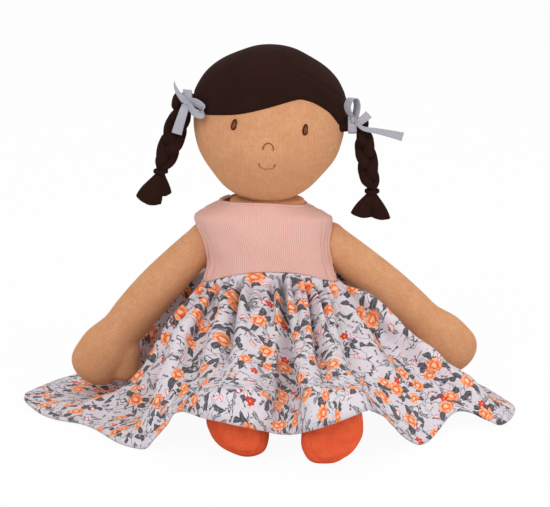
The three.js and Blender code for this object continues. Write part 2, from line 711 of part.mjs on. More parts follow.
// Shoe: a stuffed foot standing on its heel, with its sole to the front
function buildLeg(name) {
  addPiece(`leg_${name}`, flatUnder(legSolid(name, 0)), skinVelour);
  const splay = legSplay[name];
  const ankleOut = hips[name].x + Math.sin(splay) * (soleForward[name] - hipForward - shoeDepth / 2);
  const turnedOut = Math.tan(footRoll[name]);
  const halfHeight = Math.hypot(shoeHeight / 2, turnedOut * shoeHalfWidth);
  const rings = [];
  const [rows, sides] = [10, 20];
  for (let r = 0; r <= rows; r += 1) {
    const angle = (r / rows - 0.5) * Math.PI;
    const wide = Math.cos(angle) ** 0.5;
    const forward = -Math.sin(angle);
    rings.push(Array.from({ length: sides }, (_, i) => {
      const [x, z] = [Math.sin((i / sides) * turn), -Math.cos((i / sides) * turn)];
      return vector(
        ankleOut + shoeHalfWidth * wide * x + Math.sin(splay) * (shoeDepth / 2) * forward,
        -soleForward[name] + shoeDepth / 2 - (shoeDepth / 2) * forward,
        halfHeight - seatFlat + wide * ((shoeHeight / 2) * z + turnedOut * shoeHalfWidth * x),
      );
    }));
  }
  addPiece(`shoe_${name}`, flatUnder(skin(rings).subtract(legSolid(name, seamGap))), shoeVelour);
}

// Cuts a solid flat where it rests on the floor
function flatUnder(solid) {
  const span = skirtReach * 2;
  return solid.subtract(placed(new THREE.BoxGeometry(span, span, span), 0, 0, -span / 2));
}

// Room that a leg sweeps as it drops from lying forward to hanging down
function legSweep(name) {
  const hip = hips[name];
  const splay = legSplay[name];
  const radius = legRadius + socketGap;
  const fall = hip.z + cutOverrun;
  const reach = torsoHalfDepth + cutOverrun;
  const lean = Math.sin(splay) * reach;
  const tube = (length) => new THREE.CylinderGeometry(radius, radius, length, 20).translate(0, -length / 2, 0);
  const forward = placed(tube(reach).rotateZ(splay), hip.x, hip.y, hip.z);
  const down = placed(tube(fall).rotateX(Math.PI / 2).rotateY(-splay), hip.x, hip.y, hip.z);
  const ball = placed(new THREE.SphereGeometry(radius, 20, 12), hip.x, hip.y, hip.z);
  const between = new THREE.BoxGeometry(radius * 2 + Math.abs(lean), reach, fall);
  const middle = placed(between, hip.x + lean / 2, hip.y - reach / 2, hip.z - fall / 2);
  return forward.add(down).add(ball).add(middle);
}

// Torso outline at a height below the waist, its back kept straight
function torsoLow(turns, share, offset) {
  const halfWidth = torsoHalfWidth * readShares(torsoShares, share, 1) + offset;
  const halfDepth = torsoHalfDepth * readShares(torsoShares, share, 2) + offset;
  const [x, y] = boxyOutline(turns, halfWidth, halfDepth);
  const rounding = THREE.MathUtils.smoothstep(share, 0, 0.12);
  const middle = torsoBack - torsoHalfDepth * readShares(torsoShares, share, 2);
  return vector(x, y + middle * rounding, share * waistHeight);
}

function torsoBody() {
  const sides = 26;
  const ringOf = (place) => Array.from({ length: sides }, (_, i) => place(i / sides));
  const rings = [];
  for (const share of [0, 0.03, 0.09, 0.19, 0.4, 0.6, 0.84]) {
    rings.push(ringOf((turns) => torsoLow(turns, share, 0)));
  }
  const inset = bodiceWall + seamGap * 2.6;
  for (const share of [0.08, 0.25, 0.45, 0.58, 0.68]) {
    rings.push(ringOf((turns) => {
      const step = 0.01;
      const point = bodicePoint(turns, share);
      const across = bodicePoint(turns + step, share).sub(bodicePoint(turns - step, share));
      const along = bodicePoint(turns, share + step).sub(bodicePoint(turns, share - step));
      return point.addScaledVector(across.cross(along).normalize(), -inset);
    }));
  }
  rings.push(ringOf((turns) => {
    const [x, y] = boxyOutline(turns, neckBall * 1.2, neckBall);
    return vector(x - neckRight, y, torsoTop);
  }));
  return skin(rings);
}

const pocketMiddle = (pocketBottom + pocketTop) / 2;
const pocketHeight = pocketTop - pocketBottom;
const pocketFront = torsoBack - pocketDepth;

function block(width, depth, height, x, y, z) {
  return placed(new THREE.BoxGeometry(width, depth, height), x, y, z);
}

function buildTorso() {
  let body = torsoBody();
  for (const [name, side] of [['right', -1], ['left', 1]]) {
    const centre = shoulders[name];
    const ball = new THREE.SphereGeometry(armBall + socketGap, 16, 10);
    body = body.subtract(placed(ball, centre.x, centre.y, centre.z));
    body = body.subtract(armSolid(name, side, socketGap));
    body = body.subtract(legSweep(name));
  }
  const cutDepth = pocketDepth + cutOverrun;
  const pocket = block(pocketWidth, cutDepth, pocketHeight, 0, pocketFront + cutDepth / 2, pocketMiddle);
  addPiece('torso', body.subtract(pocket), skinVelour);
}

// Pocket: a lining sewn into the back, open to the rear
function buildPocket() {
  const outerWidth = pocketWidth - seamGap * 2;
  const outerHeight = pocketHeight - seamGap * 2;
  const depth = pocketDepth - seamGap - packRecess;
  const front = pocketFront + seamGap;
  const outer = block(outerWidth, depth, outerHeight, 0, front + depth / 2, pocketMiddle);
  const inner = block(
    outerWidth - liningWall * 2,
    depth,
    outerHeight - liningWall * 2,
    0,
    front + liningWall + depth / 2,
    pocketMiddle,
  );
  addPiece('pocket_lining', outer.subtract(inner), packCotton);
}

// Heat pack: a sewn bag of grain with a crowned face and three stitched channels
function buildHeatPack() {
  const packHeight = pocketHeight - (liningWall + seamGap * 2) * 2;
  const backFace = torsoBack - packRecess;
  const middle = backFace - packThickness / 2;
  const [columns, rows] = [10, 14];
  const half = (share) => (1 - Math.abs(2 * share - 1) ** 3.2) ** 0.55;
  const points = [];
  const faces = [];
  const thickness = (u, v) => {
    const dip = [1 / 3, 2 / 3].reduce((sum, line) => sum
      + channelDepth * Math.exp(-4 * (((v - line) * packHeight) / channelWidth) ** 2), 0);
    const crown = packEdge / 2 + (packThickness / 2 - packEdge / 2) * half(u) * half(v);
    return Math.max(crown - dip * half(u), packEdge / 2);
  };
  const inset = (share) => packEdge * 0.5 * (1 - half(share));
  for (const face of [-1, 1]) {
    for (let r = 0; r <= rows; r += 1) {
      for (let c = 0; c <= columns; c += 1) {
        const [u, v] = [c / columns, r / rows];
        points.push(vector(
          (u - 0.5) * (packWidth - inset(v) * 2),
          middle + face * thickness(u, v),
          pocketMiddle + (v - 0.5) * (packHeight - inset(u) * 2),
        ));
      }
    }
  }
  const at = (layer, r, c) => layer * (rows + 1) * (columns + 1) + r * (columns + 1) + c;
  const quad = (a, b, c, d) => faces.push(a, b, c, a, c, d);
  for (let r = 0; r < rows; r += 1) {
    for (let c = 0; c < columns; c += 1) {
      quad(at(0, r, c), at(0, r, c + 1), at(0, r + 1, c + 1), at(0, r + 1, c));
      quad(at(1, r, c + 1), at(1, r, c), at(1, r + 1, c), at(1, r + 1, c + 1));
    }
    quad(at(0, r + 1, 0), at(1, r + 1, 0), at(1, r, 0), at(0, r, 0));
    quad(at(0, r, columns), at(1, r, columns), at(1, r + 1, columns), at(0, r + 1, columns));
  }
  for (let c = 0; c < columns; c += 1) {
    quad(at(1, 0, c), at(1, 0, c + 1), at(0, 0, c + 1), at(0, 0, c));
    quad(at(0, rows, c), at(0, rows, c + 1), at(1, rows, c + 1), at(1, rows, c));
  }
  addPiece('heat_pack', solidOf(points, faces), packCotton);
  const tabMiddle = pocketTop - tabLength;
  addPiece('heat_pack_tab', block(
    tabWidth,
    tabThickness,
    tabLength,
    0,
    backFace + seamGap + tabThickness / 2,
    tabMiddle,
  ), ribbonSatin);
}

// Pocket flap: hinged along the seam under the pocket, closed by a tape at its top
function torsoBackPatch(bottom, top, width, inner, outer) {
  const [rows, columns] = [Math.max(Math.round((top - bottom) / tapeWidth), 1), 8];
  const half = turnsFor(width / 2, torsoHalfWidth);
  const grid = Array.from({ length: rows + 1 }, (_, r) => Array.from({ length: columns + 1 }, (__, c) => torsoLow(
    THREE.MathUtils.lerp(0.5 - half, 0.5 + half, c / columns),
    THREE.MathUtils.lerp(bottom, top, r / rows) / waistHeight,
    0,
  )));
  return sheet(grid, inner, outer, false);
}

function buildFlap() {
  const full = seamGap * 3 + tapeWall * 2;
  const lift = (u, v) => THREE.MathUtils.lerp(seamGap, full, THREE.MathUtils.smoothstep(v, 0, 0.6));
  const outer = (u, v) => lift(u, v) + flapWall;
  addPiece('pocket_flap', torsoBackPatch(flapHinge, flapTop, flapWidth, lift, outer), skinVelour);
  const tapeFrom = flapTop - tapeWidth;
  const tapeSpan = flapWidth * 0.8;
  addPiece('pocket_loop_tape', torsoBackPatch(
    tapeFrom,
    flapTop,
    tapeSpan,
    seamGap,
    seamGap + tapeWall,
  ), tapeNylon);
  addPiece('flap_hook_tape', torsoBackPatch(
    tapeFrom,
    flapTop,
    tapeSpan,
    seamGap * 2 + tapeWall,
    seamGap * 2 + tapeWall * 2,
  ), tapeNylon);
}

// Dress above the waist: front and sides in one, two halves overlapping at the back
const backHalfWidth = waistHalfWidth * 0.945;
const backTurn = turnsFor(backOpening / 2, backHalfWidth);

function buildBodice() {
  let front = sheet(bodiceGrid(-0.5 + backTurn, 0.5 - backTurn, 30, 7), -bodiceWall, 0, false);
  for (const [name, side] of [['right', -1], ['left', 1]]) {
    const centre = shoulders[name];
    const hole = new THREE.CylinderGeometry(1, 1, waistHalfWidth, 28)
      .rotateZ(Math.PI / 2)
      .scale(1, armholeDepth, armholeHeight)
      .translate(centre.x + side * waistHalfWidth * 0.3, centre.y, centre.z);
    front = front.subtract(solidFrom(hole)).subtract(armSolid(name, side, socketGap));
  }
  addPiece('bodice', front, pinkRib);
}

function buildDressBack() {
  const edge = turnsFor(backOpening / 2 - seamGap * 2.4, backHalfWidth);
  const lap = turnsFor(backOverlap / 2, backHalfWidth);
  const tapeHalf = turnsFor(backOverlap * 0.4, backHalfWidth);
  const [columns, rows] = [8, 7];
  const wall = bodiceWall * 0.8;
  const raised = seamGap * 3 + tapeWall * 2 + wall;
  const rise = (u) => raised * THREE.MathUtils.smoothstep(u, 0.05, 0.6);
  const above = (from, to, across) => bodiceGrid(from, to, across, rows, backHemShare);
  addPiece('dress_back_left', sheet(above(0.5 - edge, 0.5 + lap, columns), (u) => rise(u) - wall, rise, false), pinkRib);
  addPiece('dress_back_right', sheet(above(0.5 - lap, 0.5 + edge, columns), -wall, 0, false), pinkRib);
  const band = above(0.5 - tapeHalf, 0.5 + tapeHalf, 3).slice(1, rows - 1);
  addPiece('dress_loop_tape', sheet(band, seamGap, seamGap + tapeWall, false), tapeNylon);
  addPiece('dress_hook_tape', sheet(band, seamGap * 2 + tapeWall, seamGap * 2 + tapeWall * 2, false), tapeNylon);
}

// Skirt: one gathered sheet that spreads over the legs and the floor
function skirtGrid() {
  const spokes = foldShares.map(([turns, acrossShare, backShare, fall]) => {
    const [x, y] = boxyOutline(turns, waistHalfWidth, waistHalfDepth);
    const top = waistAt(turns) - seamGap;
    const heights = [1, ...clothShares[fall]];
    return clothRowShares.map((share, row) => vector(
      THREE.MathUtils.lerp(x, acrossShare * skirtReach, share),
      THREE.MathUtils.lerp(y, backShare * skirtReach, share),
      top * heights[row],
    ));
  });
  const columnsPerFold = 3;
  return clothRowShares.map((_, row) => {
    const curve = new THREE.CatmullRomCurve3(spokes.map((spoke) => spoke[row]), true, 'centripetal');
    const count = spokes.length * columnsPerFold;
    return Array.from({ length: count }, (__, i) => {
      const point = curve.getPoint(i / count);
      point.z = Math.max(point.z, skirtWall);
      return point;
    });
  });
}

function buildNeck() {
  const low = Math.asin((seamGap - neckRise) / neckBall);
  const points = [new THREE.Vector2(0, seamGap - neckRise)];
  const steps = 7;
  for (let i = 0; i <= steps; i += 1) {
    const angle = THREE.MathUtils.lerp(low, Math.PI / 2, i / steps);
    points.push(new THREE.Vector2(neckBall * Math.cos(angle), neckBall * Math.sin(angle)));
  }
  const geometry = new THREE.LatheGeometry(points, 20).rotateX(Math.PI / 2);
  addPiece('neck', placed(geometry, -neckRight, 0, neckHeight), skinVelour);
}

buildTorso();
buildPocket();
buildHeatPack();
buildFlap();
buildNeck();
buildHead();
buildFace();
buildHairCap();
buildBraid('right', -1);
buildBraid('left', 1);
buildArm('right', -1);
buildArm('left', 1);
buildLeg('right');
buildLeg('left');
buildBodice();
buildDressBack();
addPiece('skirt', sheet(skirtGrid(), -skirtWall / 2, skirtWall / 2, true), printedCotton);

export default doll;
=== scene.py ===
from math import cos, pi, radians, sin, tan

import bmesh
import bpy
import numpy as np
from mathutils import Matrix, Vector


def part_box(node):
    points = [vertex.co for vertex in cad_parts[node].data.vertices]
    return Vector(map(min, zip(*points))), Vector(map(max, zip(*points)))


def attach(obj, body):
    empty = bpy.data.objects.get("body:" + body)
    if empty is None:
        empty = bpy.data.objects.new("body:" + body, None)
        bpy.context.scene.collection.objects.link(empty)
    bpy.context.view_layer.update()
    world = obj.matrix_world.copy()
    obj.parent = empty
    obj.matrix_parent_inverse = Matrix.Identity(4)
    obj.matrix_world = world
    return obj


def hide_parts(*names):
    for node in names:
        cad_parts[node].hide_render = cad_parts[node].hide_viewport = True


bl_info = {
    "name": "Heat pack doll",
    "version": (1, 0, 0),
    "blender": (4, 5, 0),
    "location": "View3D > Sidebar > Doll",
    "description": "Builds the cloth, stuffing and trim of a seated heat pack doll",
    "category": "Object",
}

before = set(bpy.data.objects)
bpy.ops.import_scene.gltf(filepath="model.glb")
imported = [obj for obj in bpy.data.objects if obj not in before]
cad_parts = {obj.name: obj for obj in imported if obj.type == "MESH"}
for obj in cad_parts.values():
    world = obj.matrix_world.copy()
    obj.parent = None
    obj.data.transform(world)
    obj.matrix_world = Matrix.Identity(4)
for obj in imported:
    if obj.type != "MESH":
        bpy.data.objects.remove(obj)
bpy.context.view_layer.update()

TURN = 2 * pi
SIDES = (("right", -1), ("left", 1))

# Shares of the head's half width and half height, from the chin to the crown
HEAD_PROFILE = np.array([
    (0, -1.02), (0.24, -0.985), (0.45, -0.885), (0.6, -0.77), (0.765, -0.58), (0.905, -0.37), (0.98, -0.155),
    (1, 0.05), (0.985, 0.3), (0.925, 0.48), (0.82, 0.64), (0.63, 0.8), (0.36, 0.94), (0.18, 0.987), (0, 1),
])

# Fringe edge across the brow, as shares of the head's half width and half height
FRINGE = np.array([
    (-1.3, 0.06), (-1.1, 0.1), (-0.95, 0.15), (-0.72, 0.22), (-0.4, 0.3), (0, 0.43), (0.22, 0.5),
    (0.36, 0.53), (0.46, 0.515), (0.58, 0.47), (0.78, 0.33), (0.94, 0.12), (1.1, -0.08), (1.3, -0.3),
])

# Torso below the waist: height share of the waist, half width and half depth shares
TORSO = np.array([
    (0, 0.78, 0.74), (0.05, 0.94, 0.93), (0.19, 1.02, 1.02), (0.44, 1, 1), (0.73, 0.955, 0.91),
    (0.86, 0.955, 0.875),
])

# Bodice from the waist seam to the neck edge: height share, half width and half depth shares
BODICE = np.array([
    (0, 1, 1), (0.22, 0.925, 0.965), (0.5, 0.945, 0.93), (0.7, 1, 0.865), (0.82, 1, 0.8),
    (0.92, 0.81, 0.7), (1, 0.61, 0.62),
])

# Arm from shoulder to fingertips: length share, radius share, depth share
ARM = np.array([
    (0, 0.8, 1), (0.16, 0.88, 1), (0.38, 0.97, 1), (0.56, 0.97, 0.98), (0.66, 0.95, 0.94), (0.78, 1.19, 0.84),
    (0.9, 1.17, 0.8),
])

# Heights of the cloth from the waist to the hem, as shares of the waist's height
CLOTH_ROWS = np.array([0, 0.2, 0.4, 0.6, 0.8, 0.95, 1])
CLOTH = {
    "between": (0.83, 0.65, 0.48, 0.37, 0.27, 0.205),
    "shoe": (0.86, 0.71, 0.59, 0.51, 0.465, 0.26),
    "left_shoe": (0.86, 0.71, 0.59, 0.53, 0.49, 0.29),
    "left_shoe_out": (0.86, 0.71, 0.6, 0.55, 0.525, 0.385),
    "left_shoe_side": (0.86, 0.7, 0.59, 0.55, 0.54, 0.435),
    "shoe_side": (0.86, 0.7, 0.58, 0.5, 0.475, 0.335),
    "arch": (0.82, 0.65, 0.5, 0.39, 0.31, 0.275),
    "left_arch": (0.82, 0.65, 0.5, 0.41, 0.345, 0.315),
    "corner": (0.84, 0.68, 0.48, 0.25, 0.07, 0.015),
    "right_corner": (0.88, 0.75, 0.56, 0.3, 0.08, 0.015),
    "low_arch": (0.8, 0.6, 0.42, 0.28, 0.17, 0.12),
    "ridge": (0.91, 0.71, 0.51, 0.33, 0.11, 0.015),
    "behind_ridge": (0.78, 0.52, 0.33, 0.19, 0.07, 0.03),
    "under_left_arm": (0.68, 0.38, 0.1, 0.06, 0.04, 0.02),
    "under_right_arm": (0.46, 0.045, 0.02, 0.025, 0.035, 0.05),
    "behind_right_arm": (0.46, 0.045, 0.02, 0.02, 0.02, 0.015),
    "right_rise": (0.62, 0.36, 0.2, 0.1, 0.03, 0.015),
    "rise": (0.74, 0.44, 0.21, 0.09, 0.03, 0.015),
    "back": (0.95, 0.88, 0.72, 0.45, 0.1, 0.015),
    "low_ridge": (0.68, 0.29, 0.13, 0.065, 0.035, 0.02),
    "low_fall": (0.62, 0.27, 0.12, 0.065, 0.045, 0.03),
    "fall": (0.82, 0.6, 0.38, 0.18, 0.06, 0.015),
}

# Folds of the skirt from the front by the doll's left side: share of a turn at the
# waist, the hem's place as shares of the reach, and the cloth's fall
FOLDS = [
    (0.005, 0.035, -0.88, "between"), (0.05, 0.17, -1, "left_shoe"), (0.095, 0.29, -1.02, "left_shoe_out"),
    (0.12, 0.38, -0.98, "left_shoe_side"), (0.145, 0.425, -0.74, "left_arch"), (0.175, 0.6, -0.645, "corner"),
    (0.21, 0.77, -0.35, "low_arch"), (0.23, 0.925, -0.365, "ridge"), (0.245, 0.99, -0.18, "behind_ridge"),
    (0.262, 0.94, 0.015, "under_left_arm"), (0.29, 0.85, 0.22, "rise"), (0.33, 0.69, 0.42, "back"),
    (0.38, 0.49, 0.545, "back"), (0.44, 0.26, 0.62, "back"), (0.5, 0, 0.65, "back"),
    (0.56, -0.26, 0.62, "back"), (0.62, -0.49, 0.555, "back"), (0.67, -0.68, 0.455, "back"),
    (0.705, -0.84, 0.32, "right_rise"),
    (0.73, -0.945, 0.17, "behind_right_arm"), (0.755, -1, -0.025, "under_right_arm"),
    (0.775, -0.93, -0.2, "low_ridge"), (0.8, -0.86, -0.29, "low_ridge"), (0.825, -0.735, -0.395, "low_fall"),
    (0.845, -0.6, -0.63, "fall"), (0.865, -0.5, -0.705, "right_corner"), (0.9, -0.38, -0.715, "arch"),
    (0.935, -0.265, -0.912, "shoe_side"), (0.975, -0.085, -0.915, "shoe"),
]

# Creases that run down from the waist seam: share of a turn, depth, width and length shares
CREASES = np.array([
    (-0.118, 0.0062, 0.008, 0.75), (-0.092, 0.003, 0.005, 0.35), (-0.06, 0.0105, 0.0062, 0.8),
    (-0.034, 0.0036, 0.005, 0.35), (-0.014, 0.003, 0.0045, 0.28), (0.002, 0.0060, 0.005, 0.5),
    (0.022, 0.0125, 0.0062, 1.2), (0.042, 0.0055, 0.0055, 0.55), (0.062, 0.0034, 0.005, 0.4),
    (0.08, 0.0085, 0.0062, 0.9), (0.108, 0.0042, 0.006, 0.5), (0.135, 0.0045, 0.008, 0.8),
    (0.165, 0.004, 0.009, 0.6), (0.2, 0.0035, 0.01, 0.6), (-0.14, 0.0034, 0.006, 0.5),
    (-0.163, 0.0078, 0.008, 1.2), (-0.2, 0.003, 0.01, 0.4),
])

# The same for the sides and the back, spaced unevenly by sines of their number
BACK_CREASES = np.array([
    (0.245 + 0.032 * i + 0.005 * sin(3.7 * i), 0.0032 + 0.0012 * sin(2.3 * i), 0.0075,
     0.75 + 0.25 * sin(1.7 * i))
    for i in range(17)
])


def size(name, description, default):
    """A length that a user may change."""
    return bpy.props.FloatProperty(name=name, description=description, default=default, min=0, unit="LENGTH")


def tint(name, description, red, green, blue):
    """A colour that a user may change, written as it is seen."""
    return bpy.props.FloatVectorProperty(
        name=name, description=description, subtype="COLOR_GAMMA", size=3, min=0, max=1,
        default=(red / 255, green / 255, blue / 255),
    )


class DollSizes(bpy.types.PropertyGroup):
    """Sizes of the doll's cloth and stuffing"""

    head_half_width: size("Head half width", "Half of the head's width", 0.0531)
    head_half_height: size("Head half height", "Half of the head's height", 0.0545)
    head_height: size("Head height", "Height of the head's middle above the seat", 0.202)
    head_right: size("Head right", "How far the head is right of the middle", 0.0008)
    hair_thickness: size("Hair thickness", "Thickness of the hair cap's velour", 0.0024)
    root_radius: size("Root radius", "Radius of the hair bunch where a braid leaves the head", 0.0046)
    braid_length: size("Braid length", "Length of a braid from its gather to its ends", 0.067)
    strand_radius: size("Strand radius", "Radius of a braid's stuffed strand", 0.0041)
    ribbon_width: size("Ribbon width", "Width of the ribbon in the bows", 0.0066)
    ribbon_thickness: size("Ribbon thickness", "Thickness of the ribbon", 0.0006)
    torso_half_width: size("Torso half width", "Half of the torso's width", 0.044)
    torso_half_depth: size("Torso half depth", "Half of the torso's depth", 0.033)
    torso_back: size("Torso back", "Place of the torso's flat back", 0.031)
    arm_length: size("Arm length", "Length of an arm from the shoulder to the fingertips", 0.136)
    arm_radius: size("Arm radius", "Radius of an arm above the wrist", 0.016)
    thumb_radius: size("Thumb radius", "Radius of a thumb", 0.0100)
    thumb_length: size("Thumb length", "Length of a thumb", 0.032)
    leg_radius: size("Leg radius", "Radius of a leg", 0.017)
    ankle_length: size("Ankle length", "Length of the shoe in front of the leg's end", 0.026)
    shoe_half_width: size("Shoe half width", "Half of a shoe's width", 0.0215)
    shoe_height: size("Shoe height", "Height of a shoe from heel to toe", 0.045)
    shoe_depth: size("Shoe depth", "Depth of a shoe from sole to ankle", 0.034)
    sole_right: size("Right sole", "Distance of the right sole in front of the seat", 0.149)
    sole_left: size("Left sole", "Distance of the left sole in front of the seat", 0.167)
    waist_height: size("Waist height", "Height of the waist seam at the front", 0.103)
    waist_dip: size("Waist dip", "How far the waist seam dips at the sides", 0.013)
    waist_half_width: size("Waist half width", "Half of the dress's width at the waist", 0.047)
    waist_half_depth: size("Waist half depth", "Half of the dress's depth at the waist", 0.030)
    neck_edge_height: size("Neck edge height", "Height of the dress's neck edge", 0.1495)
    bodice_wall: size("Bodice wall", "Thickness of the bodice's ribbed velour", 0.0014)
    skirt_reach: size("Skirt reach", "Distance that the skirt spreads from the middle", 0.174)
    skirt_wall: size("Skirt wall", "Thickness of the skirt's cotton", 0.0009)


class DollColours(bpy.types.PropertyGroup):
    """Colours of the doll's cloth and trim"""

    skin: tint("Skin", "Velour of the head, arms and legs", 224, 167, 125)
    skin_shade: tint("Skin shade", "Darker patches of the skin velour", 210, 149, 107)
    hair: tint("Hair", "Velour of the hair cap and braids", 45, 22, 16)
    thread: tint("Thread", "Embroidery of the eyes", 72, 32, 16)
    thread_fill: tint("Eye fill", "Lighter embroidery inside the eyes", 134, 78, 50)
    mouth: tint("Mouth", "Thin embroidery of the nose and mouth", 134, 76, 36)
    smile: tint("Mouth thread", "Pale thread of the mouth", 166, 102, 64)
    rib: tint("Bodice", "Ribbed velour of the bodice", 227, 179, 167)
    shoe: tint("Shoes", "Velour of the shoes", 244, 108, 68)
    ribbon: tint("Ribbon", "Grosgrain ribbon of the bows", 172, 171, 181)
    cotton: tint("Cotton", "Undyed cotton of the heat pack and its pocket", 232, 222, 202)
    tape: tint("Tape", "Hook and loop tape", 240, 238, 232)
    ground: tint("Print ground", "Ground of the skirt's print", 216, 208, 214)
    blossom: tint("Blossoms", "Blossoms of the skirt's print", 244, 149, 86)
    blossom_light: tint("Blossom highlights", "Light strokes in the blossoms", 252, 212, 180)
    blossom_deep: tint("Blossom centres", "Deep strokes in the blossoms", 226, 86, 46)
    leaf: tint("Leaves", "Leaves and stems of the skirt's print", 82, 81, 86)
    leaf_light: tint("Pale leaves", "Pale leaves of the skirt's print", 132, 129, 135)
    bud: tint("Buds", "Outlined buds of the skirt's print", 214, 84, 92)


def sizes():
    """The sizes that are set now."""
    return bpy.context.scene.doll_sizes


def linear(shade, factor=1.0):
    """A colour as it is seen, turned to the linear one that a shader takes."""
    value = np.array(shade, float)
    bent = np.where(value <= 0.04045, value / 12.92, ((value + 0.055) / 1.055) ** 2.4)
    return (*np.clip(bent * factor, 0, 1).tolist(), 1.0)


# Curves and tables


def hermite(share, start, end, slope_start, slope_end):
    """Cubic between start and end with the slopes given, at a share from 0 to 1."""
    square, cube = share ** 2, share ** 3
    return ((2 * cube - 3 * square + 1) * start + (cube - 2 * square + share) * slope_start
            + (3 * square - 2 * cube) * end + (cube - square) * slope_end)


def read_table(places, values, wanted):
    """Smooth values at the wanted places: cubic pieces whose slopes at a row are those of
    the line between the rows beside it. Values may have further axes after the first."""
    places, values, wanted = np.asarray(places, float), np.asarray(values, float), np.asarray(wanted, float)
    last = len(places) - 1
    start = np.clip(np.searchsorted(places, wanted, side="left") - 1, 0, last - 1)
    before, end, after = np.maximum(start - 1, 0), start + 1, np.minimum(start + 2, last)
    shape = wanted.shape + (1,) * (values.ndim - 1)
    span = (places[end] - places[start]).reshape(shape)
    local = ((wanted - places[start]).reshape(shape)) / span
    slope_start = (values[end] - values[before]) / (places[end] - places[before]).reshape(shape) * span
    slope_end = (values[after] - values[start]) / (places[after] - places[start]).reshape(shape) * span
    return hermite(local, values[start], values[end], slope_start, slope_end)


def even_spline(points, shares):
    """Catmull-Rom curve through points that are evenly spaced in its parameter."""
    points, shares = np.asarray(points, float), np.asarray(shares, float)
    last = len(points) - 1
    place = np.clip(shares, 0, 1) * last
    start = np.minimum(place.astype(int), last - 1)
    local = (place - start)[..., None]
    before, end, after = np.maximum(start - 1, 0), start + 1, np.minimum(start + 2, last)
    return hermite(local, points[start], points[end], (points[end] - points[before]) / 2,
                   (points[after] - points[start]) / 2)


def ring_spline(points, per_span):
    """Closed Catmull-Rom curve whose knots are spaced by the square root of the distance
    between the points. The first axis of points goes round, and the result's too."""
    before, start = np.roll(points, 1, 0), points
    end, after = np.roll(points, -1, 0), np.roll(points, -2, 0)

    def spacing(a, b):
        """How far apart two points' knots are."""
        return np.maximum(np.linalg.norm(b - a, axis=-1, keepdims=True) ** 0.5, 1e-5)

    d0, d1, d2 = spacing(before, start), spacing(start, end), spacing(end, after)
    slope_start = ((start - before) / d0 - (end - before) / (d0 + d1) + (end - start) / d1) * d1
    slope_end = ((end - start) / d1 - (after - start) / (d1 + d2) + (after - end) / d2) * d1
    local = (np.arange(per_span) / per_span).reshape((1, per_span) + (1,) * (points.ndim - 1))
    made = hermite(local, start[:, None], end[:, None], slope_start[:, None], slope_end[:, None])
    return made.reshape((-1,) + points.shape[1:])


def smoothstep(low, high, value):
    """0 below low, 1 above high, and an S-shaped rise between."""
    share = np.clip((value - low) / (high - low), 0, 1)
    return share * share * (3 - 2 * share)


def spread(*parts):
    """Coordinates brought to one shape and put together along a last axis."""
    return np.stack(np.broadcast_arrays(*parts), -1)


def bell(value, width):
    """1 at 0, falling on both sides: e to the power of minus the square of value over width."""
    return np.exp(-(value / width) ** 2)


def bent_power(value, power):
    """The value's size to a power, with the value's sign: it turns a round outline boxier."""
    return np.sign(value) * np.abs(value) ** power


def full_turn(count):
    """Evenly spaced angles of a whole turn."""
    return np.linspace(0, TURN, count, endpoint=False)


def to_edge(place):
    """Share of the way from a place to the nearer end of its range, which goes from 0 to 1."""
    return np.minimum(place, 1 - place)


def unit(vectors):
    """Vectors of length 1 along the last axis."""
    return vectors / np.maximum(np.linalg.norm(vectors, axis=-1, keepdims=True), 1e-12)


def run(points, axis=0):
    """Distance run from the start along an axis of an array of points."""
    steps = np.linalg.norm(np.diff(points, axis=axis), axis=-1)
    return np.concatenate([np.zeros_like(steps.take([0], axis)), np.cumsum(steps, axis)], axis)


def lumps(points, pitch, seed):
    """Soft lumps from -1 to 1: the mean of sine products along turned axes, with this pitch."""
    x, y, z = (points[..., i] * TURN / pitch for i in range(3))
    first = np.sin(x + 1.7 * np.sin(y * 0.6 + seed)) * np.cos(z * 0.9 + seed)
    second = np.sin(0.7 * y - 0.8 * z + 2.1 * seed) * np.cos(0.6 * x + 1.3 * np.sin(z * 0.5))
    return (first + second) / 2


# Meshes


def grid_normals(grid, wrap):
    """Unit normals of a grid of points, from the differences between its neighbours."""
    across = np.roll(grid, -1, 1) - np.roll(grid, 1, 1)
    if not wrap:
        across[:, 0] = grid[:, 1] - grid[:, 0]
        across[:, -1] = grid[:, -1] - grid[:, -2]
    along = np.gradient(grid, axis=0)
    return unit(np.cross(across, along))


def make_mesh(name, points, faces, uv, marks=None):
    """A mesh object of points and faces. uv holds one pair for each corner of each face, and
    marks holds named values for each point. Faces are turned outwards if they point in."""
    triangles = [part[:, [0, i, i + 1]] for part in faces for i in range(1, part.shape[1] - 1)]
    a, b, c = (points[np.concatenate(triangles)[:, i]] for i in range(3))
    if np.einsum("ij,ij->", a, np.cross(b, c)) < 0:
        faces, uv = ([part[:, ::-1] for part in group] for group in (faces, uv))
    mesh = bpy.data.meshes.new(name)
    mesh.from_pydata(points.tolist(), [], [face for part in faces for face in part.tolist()])
    corners = np.concatenate([part.ravel() for part in uv]).astype(np.float32)
    mesh.uv_layers.new(name="cloth").data.foreach_set("uv", corners)
    for mark, values in (marks or {}).items():
        mesh.attributes.new(mark, "FLOAT", "POINT").data.foreach_set("value", values.astype(np.float32))
    return show_mesh(name, mesh)


def show_mesh(name, mesh):
    """A smooth object of a mesh, put in the scene."""
    mesh.polygons.foreach_set("use_smooth", np.ones(len(mesh.polygons), bool))
    mesh.update()
    made = bpy.data.objects.new(name, mesh)
    bpy.context.scene.collection.objects.link(made)
    return made


def grid_quads(rows, columns, wrap):
    """Corner rows and columns of each square of a grid: arrays of shape (squares, 4)."""
    r, c = np.meshgrid(np.arange(rows - 1), np.arange(columns if wrap else columns - 1), indexing="ij")
    r, c = r.ravel(), c.ravel()
    return np.stack([r, r, r + 1, r + 1], 1), np.stack([c, c + 1, c + 1, c], 1)


